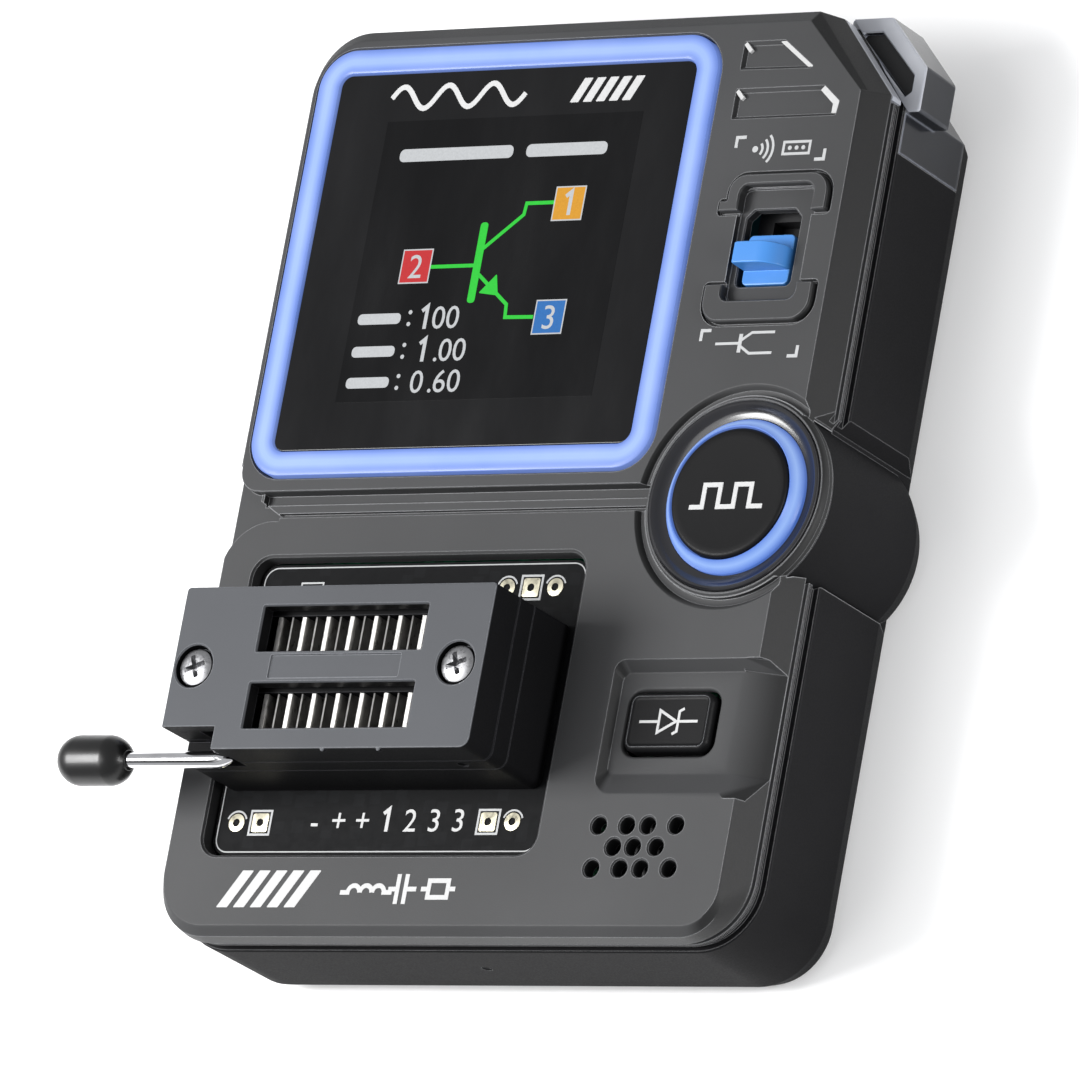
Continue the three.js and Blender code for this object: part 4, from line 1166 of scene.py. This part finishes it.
def switch_knob():
    """Blue thumb piece: a low block with a ridge across it that rounds down at its right end."""
    left, right, bottom, top = KNOB.left, KNOB.right, KNOB.bottom, KNOB.top
    base_top = FACE - 0.7
    base = stack(rect(left, right, bottom, top, 0.5), [
        (14.3, 0), (base_top - 0.2, 0), (base_top - 0.06, -0.05), (base_top, -0.18),
    ], 6)
    crown = KNOB.high

    def ridge_profile(inset):
        low = base_top - 0.6
        start, end = left + 0.02 + inset, right - 0.02 - inset
        points = [(start, low), (end, low)]
        bend = 2.3 - inset
        centre_x, centre_z = end - bend, crown - inset - bend
        points += [(px, pz) for px, pz in arc(centre_x, centre_z, bend, 5, 90, 10)]
        points += arc(start + 0.35, crown - inset - 0.35, 0.35, 90, 180, 4)
        return points

    front, back = bottom + 1.3, top - 1.3
    stations = [(front, 0.14), (front + 0.05, 0.05), (front + 0.14, 0.0), (back - 0.14, 0.0),
                (back - 0.05, 0.05), (back, 0.14)]
    ridge = skin([[(px, y, pz) for px, pz in ridge_profile(inset)] for y, inset in stations])
    tongue = slab(rect(KNOB.x - 1.2, KNOB.x + 1.2, bottom + 0.4, top - 0.4, 0.2), KNOB.low, 14.6, 2)
    mesh = booleans(base, join(ridge, tongue))
    piece("switch_thumb", mesh, M_BLUE, "blue_plastic", ["switch_knob"], body="mode_switch")


# ---------------------------------------------------------------- prints and painted highlights on the case

def on_face(name, *solids, material=M_SILVER):
    piece(name, tiered(solids), material, "shell_front", weighted=False)


def corner_marks(left, right, bottom, top, low, high):
    """Corner brackets at the upper left and the lower right of a label."""
    arm, width = 0.95, 0.3
    return [*sketch(left, top, low, high, (width, (0, -arm), (0, 0), (arm, 0))),
            *sketch(right, bottom, low, high, (width, (0, arm), (0, 0), (-arm, 0)))]


def face_prints():
    low, high = FACE - 0.02, FACE + 0.03
    # infrared: a source with three waves, and a small remote
    x, y = 19.4, 29.2
    waves = [line(arc(x, y, r, -42, 42, 8), 0.24, low, high) for r in (0.75, 1.3, 1.85)]
    remote = frame_line(x + 4.3, y, 1.35, 0.55, 0.24, low, high)
    keys = [disc(x + 4.3 + dx, y, 0.2, low, high, 12) for dx in (-0.7, 0, 0.7)]
    on_face("label_infrared", disc(x, y, 0.3, low, high, 16), *waves, remote, *keys,
            *corner_marks(17.35, 26.7, 28.05, 30.35, low, high))
    # transistor: the symbol with its three leads
    symbol = sketch(21.9, 11.3, low, high,
                    (0.24, (-3.0, 0), (-0.45, 0)), (0.36, (-0.45, -0.85), (-0.45, 0.85)),
                    (0.24, (-0.4, 0.25), (0.65, 0.95), (3.0, 0.95)),
                    (0.24, (-0.4, -0.25), (0.65, -0.95), (3.0, -0.95)))
    on_face("label_transistor", *symbol, *corner_marks(17.3, 27.5, 10.0, 12.55, low, high))
    # stripes and the three component symbols at the lower left
    on_face("label_stripes", stripes(-23.0, -12.4, -39.65, -36.3, 5, 2.2, low, high), material=M_WHITE_PRINT_AND_HIGHLIGHT)
    y = -38.0
    wire = 0.42
    loops = [line(arc(-8.6 + 1.3 * turn, y - 0.3, 0.62, 180, 0, 10), wire, low, high) for turn in range(3)]
    coil_ends = sketch(0, y - 0.3, low, high, (wire, (-10.0, 0), (-9.0, 0)),
                       (wire, (-5.6, 0), (-4.75, 0), (-4.75, 0.5)))
    capacitor = sketch(0, y, low, high, (wire, (-4.75, 0), (-4.15, 0)), (wire, (-4.0, -1.35), (-4.0, 1.35)),
                       (wire, (-3.15, -1.35), (-3.15, 1.35)), (wire, (-3.0, 0), (-2.0, 0)))
    resistor = sketch(0, y, low, high, (wire, (-1.5, 0), (-0.9, 0)), (wire, (1.52, 0), (2.1, 0)))
    resistor.insert(1, frame_line(0.3, y, 1.0, 0.75, wire, low, high))
    on_face("label_components", *loops, *coil_ends, *capacitor, *resistor, material=M_WHITE_PRINT_AND_HIGHLIGHT)


def painted_bar_highlights():
    """Painted highlights: white strips on the slanted ends of the engraved bars and ticks at their upper
    left ends, standing for light on their edges.
    """
    low, high = FACE - 0.36, FACE - 0.02
    strips = [
        slab([
            (23.35, 36.72, 0.05), (24.1, 36.72, 0.05), (20.75, 39.2, 0.05), (20.0, 39.2, 0.05),
        ], low, high, 1),
        line([(26.95, 32.3), (26.95, 33.3), (25.35, 34.7)], 0.62, low, high),
    ]
    for y in (39.0, 34.6):
        strips.append(line([(16.4, y + 0.15), (17.1, y - 0.6)], 0.36, low, high))
    # painted highlight: the strips use the white material
    piece("painted_bar_highlights", merged(*strips), M_WHITE_PRINT_AND_HIGHLIGHT, "shell_front", weighted=False)


# ---------------------------------------------------------------- socket board

PIN_PITCH = 2.54


def pad(x, y, square):
    """Plated pad around a drilled hole."""
    low, high = BOARD.high - 0.02, BOARD.high + 0.05
    outer = around(x, y, 0.85, r=0.2) if square else around(x, y, 0.82, r=0.81)
    hole = around(x, y, 0.36, r=0.355)
    rings = []
    for corners, z in ((outer, low), (outer, high), (hole, high + 0.04), (hole, low)):
        rings.append([(px, py, z) for px, py in outline(corners, 6)])
    return skin(rings, closed=True)


def board_marks():
    """Pads, outlines and pin labels of the socket board."""
    low, high = BOARD.high - 0.01, BOARD.high + 0.03
    lower, upper = BOARD.bottom + 2.95, BOARD.top - 2.45
    near = BOARD.right - 3.25
    places = [
        (near, lower, False), (near - PIN_PITCH, lower, True), (BOARD.left + 2.15, lower, False),
        (BOARD.left + 2.15 + PIN_PITCH, lower, True), (near, upper, False),
        (near - PIN_PITCH, upper, True), (near - 2 * PIN_PITCH, upper, False),
    ]
    pads = [pad(*place) for place in places]
    frames = []
    for x, y, square in places:
        if square:
            frames.append(frame_line(x, y, 1.08, 1.08, 0.2, low, high))
        else:
            frames.append(line(arc(x, y, 1.05, 20, 160, 10), 0.16, low, high))
    piece("board_pads", merged(*pads), M_PAD, "contact_metal", weighted=False)
    border = outline(rect_of(BOARD, 1.3, -0.28), 8)
    frames.append(line(border, 0.11, low, high, closed=True))
    part_mark = frame_line(-20.05, upper + 0.42, 1.15, 0.33, 0.16, low, high)
    piece("board_outlines", merged(*frames, part_mark), M_SILVER, "board_black", weighted=False)
    labels = []
    first = span("contact_1").x
    for i, text in enumerate(("-", "+", "+", "1", "2", "3", "3")):
        labels.append(glyph(text, first + i * PIN_PITCH - 0.25, lower - 0.85, 2.05, low, high))
    piece("board_labels", merged(*labels), M_WHITE_PRINT_AND_HIGHLIGHT, "board_black", weighted=False)


# ---------------------------------------------------------------- socket

ROWS = (span("contact_1").y, span("contact_8").y)
CONTACTS = 7
SLOT_X = span("contact_4").x
SPLIT = (BASE.high + COVER.low) / 2
SHAFT_ROOM = SimpleNamespace(bottom=-27.6, top=-14.9)   # where the cam shaft lies
SCREW_PLACES = [(span(n).x, span(n).y) for n in ("zif_screw_left", "zif_screw_right")]


def contact_x(i):
    """Place of the i-th contact of a row."""
    return SLOT_X + PIN_PITCH * (i - 3)


def slot_rect(y):
    """Long window over a row of contacts."""
    return around(SLOT_X, y, 8.7, 2.05, 0.1)


SOCKET_OUTLINE = (
    (COVER.left, COVER.bottom, 0.35), (COVER.right, COVER.bottom, 0.95),
    (COVER.right, COVER.top, 0.4), (COVER.left, COVER.top, 0.4),
)


def lever_notch(low, high):
    """Corner of the socket that is left open for the lever."""
    return slab(rect(COVER.left - 1, -18.75, COVER.bottom - 1, -26.57, 0.05), low, high, 2)


def lever_relief():
    """Room in the wall for the rounded end of the lever to swing in."""
    return slab(rect(-21.3, -18.2, COVER.bottom - 1, -27.6, 0.3), 22.7, 25.4, 4)


def socket_base():
    """Lower half of the socket, with a well for each contact."""
    body = stack(SOCKET_OUTLINE, [
        (BASE.low - 0.25, -0.12), (BASE.low - 0.1, 0), (21.38, 0.0), (21.46, -0.1), (21.54, 0.0),
        (SPLIT - 0.14, 0.0), (SPLIT - 0.06, -0.08),
    ], 6)
    open_top = 25                     # above the base, so that the cuts are open
    steps = []
    for y in ROWS:
        steps += cut(slab(slot_rect(y), 23.1, open_top, 1))
        for i in range(CONTACTS):
            x = contact_x(i)
            steps += cut(slab(around(x, y, 0.95, 1.95), 18.2, 24, 1))
    shaft_room = rect(LEVER.right - 2.4, LEVER.right + 0.4, SHAFT_ROOM.bottom - 0.05, SHAFT_ROOM.top)
    steps += cut(slab(shaft_room, 22.8, open_top, 1), lever_notch(23.2, open_top), lever_relief())
    steps += cut(*[disc(x, y, 1.1, 17.6, open_top, 20) for x, y in SCREW_PLACES])
    steps += cut(tube([(4.7, COVER.bottom - 0.5, 22.7), (4.7, COVER.bottom + 0.4, 22.7)], [0.62, 0.42], 20))
    piece("socket_base", booleans(body, steps), M_SOCKET_BLACK_AND_SHADE, "socket_black", ["zif_base"])


def socket_cover():
    """Upper half of the socket: grey, with its sides given the black plastic as painted shade."""
    top = COVER.high
    body = stack(SOCKET_OUTLINE, [
        (SPLIT + 0.04, -0.06), (SPLIT + 0.1, 0.0), (top - 0.14, 0.0), (top - 0.05, -0.04), (top, -0.14),
    ], 6)
    below = SPLIT - 1
    steps = cut(slab(rect(-21.35, 3.9, SHAFT_ROOM.bottom, SHAFT_ROOM.top), below, top - 1.4, 1))
    for y in ROWS:
        steps += cut(stack(slot_rect(y), [
            (below, 0), (top - 0.2, 0), (top - 0.1, 0.03), (top, 0.14), (top + 0.5, 0.6),
        ], 3))
    label_levels = [(top - 0.16, 0), (top, 0.07), (top + 0.4, 0.4)]
    label = stack(rect(-14.1, -0.4, -22.2, -20.15, 0.1), label_levels, 2)
    steps += cut(label, lever_notch(below, top + 1), lever_relief())
    for x, y in SCREW_PLACES:
        sink = turned(x, y, [(1.95, top - 1.3), (1.95, top - 0.12), (2.07, top), (2.5, top + 0.4)], 40)
        steps += cut(sink, disc(x, y, 1.1, below, top, 20))
    for x in (-7.0, -1.1):
        nub = [(0.24, top - 0.5), (0.24, top - 0.2), (0.15, top - 0.08)]
        steps += join(turned(x, COVER.bottom + 0.02, nub, 12))
    mesh = booleans(body, steps)
    made = piece("socket_cover", mesh, M_GREY, "socket_grey", ["zif_cover"])
    # painted shade: the side faces below the top get the black socket plastic
    paint(made, M_SOCKET_BLACK_AND_SHADE, lambda polygon: polygon.normal.z < 0.2 and polygon.center.z / MM < top - 0.2)


CROSS_ARM = ((-0.75, 0.45, 0.16), (-0.2, 1.0, 0.22), (0.2, 1.15, 0.25))     # height, half sizes


def socket_screws():
    """Cross-head screws that hold the cover."""
    for name, (x, y) in zip(("left", "right"), SCREW_PLACES):
        top = span(f"zif_screw_{name}").high
        head = turned(x, y, [
            (0.9, 18.3), (0.9, top - 1.0), (1.66, top - 1.0), (1.72, top - 0.85), (1.72, top - 0.42),
            (1.64, top - 0.24), (1.4, top - 0.1), (1.0, top - 0.02), (0.6, top),
        ], 48)
        tools = []
        for turn in (20, 110):
            spin = Matrix.Rotation(math.radians(turn), 2)
            arm = []
            for z, half_l, half_w in CROSS_ARM:
                z += top
                flat = outline(around(0, 0, half_l, half_w, 0.08), 2)
                arm.append([(*(spin @ Vector(p) + Vector((x, y))), z) for p in flat])
            tools += cut(skin(arm))
        piece(f"socket_screw_{name}", booleans(head, tools), M_STEEL, "steel", [f"zif_screw_{name}"])


def contact(index, x, y):
    """Sprung strip bent to a U; its near leaf folds over into a broad bright lip."""
    section = [
        (-0.75, 18.6), (0.75, 18.6), (0.75, 23.0), (0.62, 25.1), (0.68, 25.35), (0.56, 25.4),
        (0.46, 25.1), (0.58, 23.0), (0.58, 18.8), (-0.58, 18.8), (-0.58, 23.2), (-0.42, 24.9),
        (-0.4, 25.25), (-0.46, 25.4), (-0.84, 25.44), (-0.84, 25.3), (-0.56, 25.18), (-0.58, 24.9),
        (-0.75, 23.2),
    ]
    half = 1.7
    rings = [[(x + u, py, z) for u, z in section] for py in (y - half, y + half)]
    piece(f"spring_contact_{index}", skin(rings), M_CONTACT, "contact_metal", [f"contact_{index}"],
          weighted=False)


NECK_R = 0.9                      # where the grip closes on the rod


def lever():
    """Rod with a pointed end on a cross shaft, and its round-ended grip."""
    y, z = GRIP.y, GRIP.z
    pivot_x = LEVER.right - 1.0
    start = GRIP.right - 2.2
    along = (start, start + 2.3, -24.0, -20.6, -19.9, -19.35, -18.9, -18.5)
    arm = tube([(x, y, z) for x in along], [0.68, 0.68, 0.74, 0.78, 0.76, 0.62, 0.4, 0.12], 32)
    across = (y - 0.2, y + 0.5, y + 1.1, LEVER.top)
    shaft = tube([(pivot_x, place, z) for place in across], [0.4, 0.7, 0.95, 0.95], 32)
    mesh = booleans(arm, join(shaft))
    piece("lever_rod", mesh, M_CHROME, "chrome", ["zif_lever"], body="lever")
    r = (GRIP.high - GRIP.low) / 2
    profile = []
    for k in range(13):
        a = math.radians(-90 + 7.5 * k)
        profile.append((GRIP.left + r + r * math.sin(a), max(r * math.cos(a), 0.02)))
    for k in range(1, 11):
        a = math.radians(6.6 * k)
        profile.append((GRIP.right - r + r * math.sin(a), r * math.cos(a)))
    profile += [(GRIP.right - 0.12, NECK_R), (GRIP.right, NECK_R * 0.85)]
    sides = [2 * math.pi * k / 48 for k in range(48)]
    rings = [[(x, y + r * math.cos(a), z + r * math.sin(a)) for a in sides] for x, r in profile]
    piece("lever_grip", skin(rings), M_KNOB, "black_gloss", ["lever_knob"], body="lever", sharp=45)


# ---------------------------------------------------------------- charging port

def port_tongue():
    """Contact tongue inside the charging port."""
    port = span("usb_port")
    flat, faces = stack(around(port.x, port.z, 3.2, 0.35, 0.3), [(0, 0), (1, 0)], 3)
    verts = [(x, between(port.bottom + 2.2, port.top - 0.8, t), z) for x, z, t in flat]
    piece("port_tongue", (verts, faces), M_INNER, "black_plastic", weighted=False)


# ---------------------------------------------------------------- CAD nodes that stay

def dress(node, material):
    """Gives a CAD node that stays in view its material."""
    obj = NODES[node]
    obj.data.materials.clear()
    obj.data.materials.append(material)


STAYING = (
    (M_INNER, "board_header", "buzzer", "processor_chip", "boost_inductor", "slide_switch_body",
     "test_tact_body", "test_tact_plunger", "zener_tact_body", "zener_tact_plunger"),
    (M_FOIL, "lcd_module", "battery"),
    (M_STEEL, "usb_port", "case_screw_1", "case_screw_2", "case_screw_3", "case_screw_4"),
    (M_MASK_GREEN, "main_board"),
    (M_MASK_BLACK, "socket_board"),
    (M_BEZEL, "ir_receiver"),
    (M_SOCKET_BLACK_AND_SHADE, "zif_slider"),
)


# ---------------------------------------------------------------- stage

CAMERA_AZIMUTH, CAMERA_ELEVATION, CAMERA_ROLL = 64.04, 50.68, -58.94
CAMERA_DISTANCE = 1.088
CAMERA_AIM = (-0.00092, -0.00381, 0.010)
CAMERA_LENS = 416.06


def camera():
    """Long lens, turned about its own axis."""
    data = bpy.data.cameras.new("camera")
    data.lens = CAMERA_LENS
    data.sensor_width = 36
    data.clip_start, data.clip_end = 0.05, 10
    made = add_object("camera", data)
    azimuth, elevation = math.radians(CAMERA_AZIMUTH), math.radians(CAMERA_ELEVATION)
    back = Vector((math.sin(azimuth) * math.cos(elevation), -math.cos(azimuth) * math.cos(elevation),
                   math.sin(elevation)))
    turn = back.to_track_quat("Z", "Y") @ Matrix.Rotation(math.radians(CAMERA_ROLL), 4, "Z").to_quaternion()
    made.rotation_mode = "QUATERNION"
    made.rotation_quaternion = turn
    made.location = Vector(CAMERA_AIM) + back * CAMERA_DISTANCE
    bpy.context.scene.camera = made


def softbox(name, place, aim, size, power):
    """Square area light, in metres and watts."""
    data = bpy.data.lights.new(name, "AREA")
    data.shape = "SQUARE"
    data.size = size
    data.energy = power
    made = add_object(name, data)
    made.location = place
    made.rotation_mode = "QUATERNION"
    made.rotation_quaternion = (Vector(place) - Vector(aim)).to_track_quat("Z", "Y")
    made.visible_camera = False


def stage():
    """Pale floor, studio world and three soft lights."""
    floor = to_object("floor", slab(rect(-2500, 2500, -2500, 2500, 400), -4, -0.02, 12))
    n = Nodes("pale_floor")
    cloud = n.noise(0.004, 3.0)
    tone = n.mix(n.remap(cloud, 0, 1), (0.74, 0.74, 0.745), (0.78, 0.78, 0.78))
    n.feed("Base Color", tone)
    n.feed("Roughness", n.remap(cloud, 0.5, 0.6))
    n.set(Specular_IOR_Level=0.3, Emission_Color=(1, 1, 1, 1), Emission_Strength=0.22)
    floor.data.materials.append(n.material)

    world = bpy.data.worlds.new("studio")
    world.use_nodes = True
    background = world.node_tree.nodes["Background"]
    background.inputs["Color"].default_value = (0.97, 0.98, 1.0, 1)
    background.inputs["Strength"].default_value = 0.5
    bpy.context.scene.world = world

    softbox("overhead", (-0.35, -0.25, 0.9), (0, 0, 0), 0.7, 3.8)
    softbox("key", (-0.20, -0.06, 0.27), (0, 0, 0.01), 0.14, 1.4)
    softbox("boss_fill", (0.16, -0.02, 0.05), (0.03, 0, 0.01), 0.06, 0.15)
    bpy.context.scene.view_settings.view_transform = "Standard"
    bpy.context.scene.view_settings.look = "None"


# ---------------------------------------------------------------- build

camera()
stage()
for node_material, *node_names in STAYING:
    for node_name in node_names:
        dress(node_name, node_material)
front_shell()
rear_shell()
ir_window()
screen()
display()
window_print()
test_button()
second_button()
switch_knob()
face_prints()
painted_bar_highlights()
board_marks()
socket_base()
socket_cover()
socket_screws()
for row, row_y in enumerate(ROWS):
    for i in range(CONTACTS):
        contact(row * CONTACTS + i + 1, contact_x(i), row_y)
lever()
port_tongue()
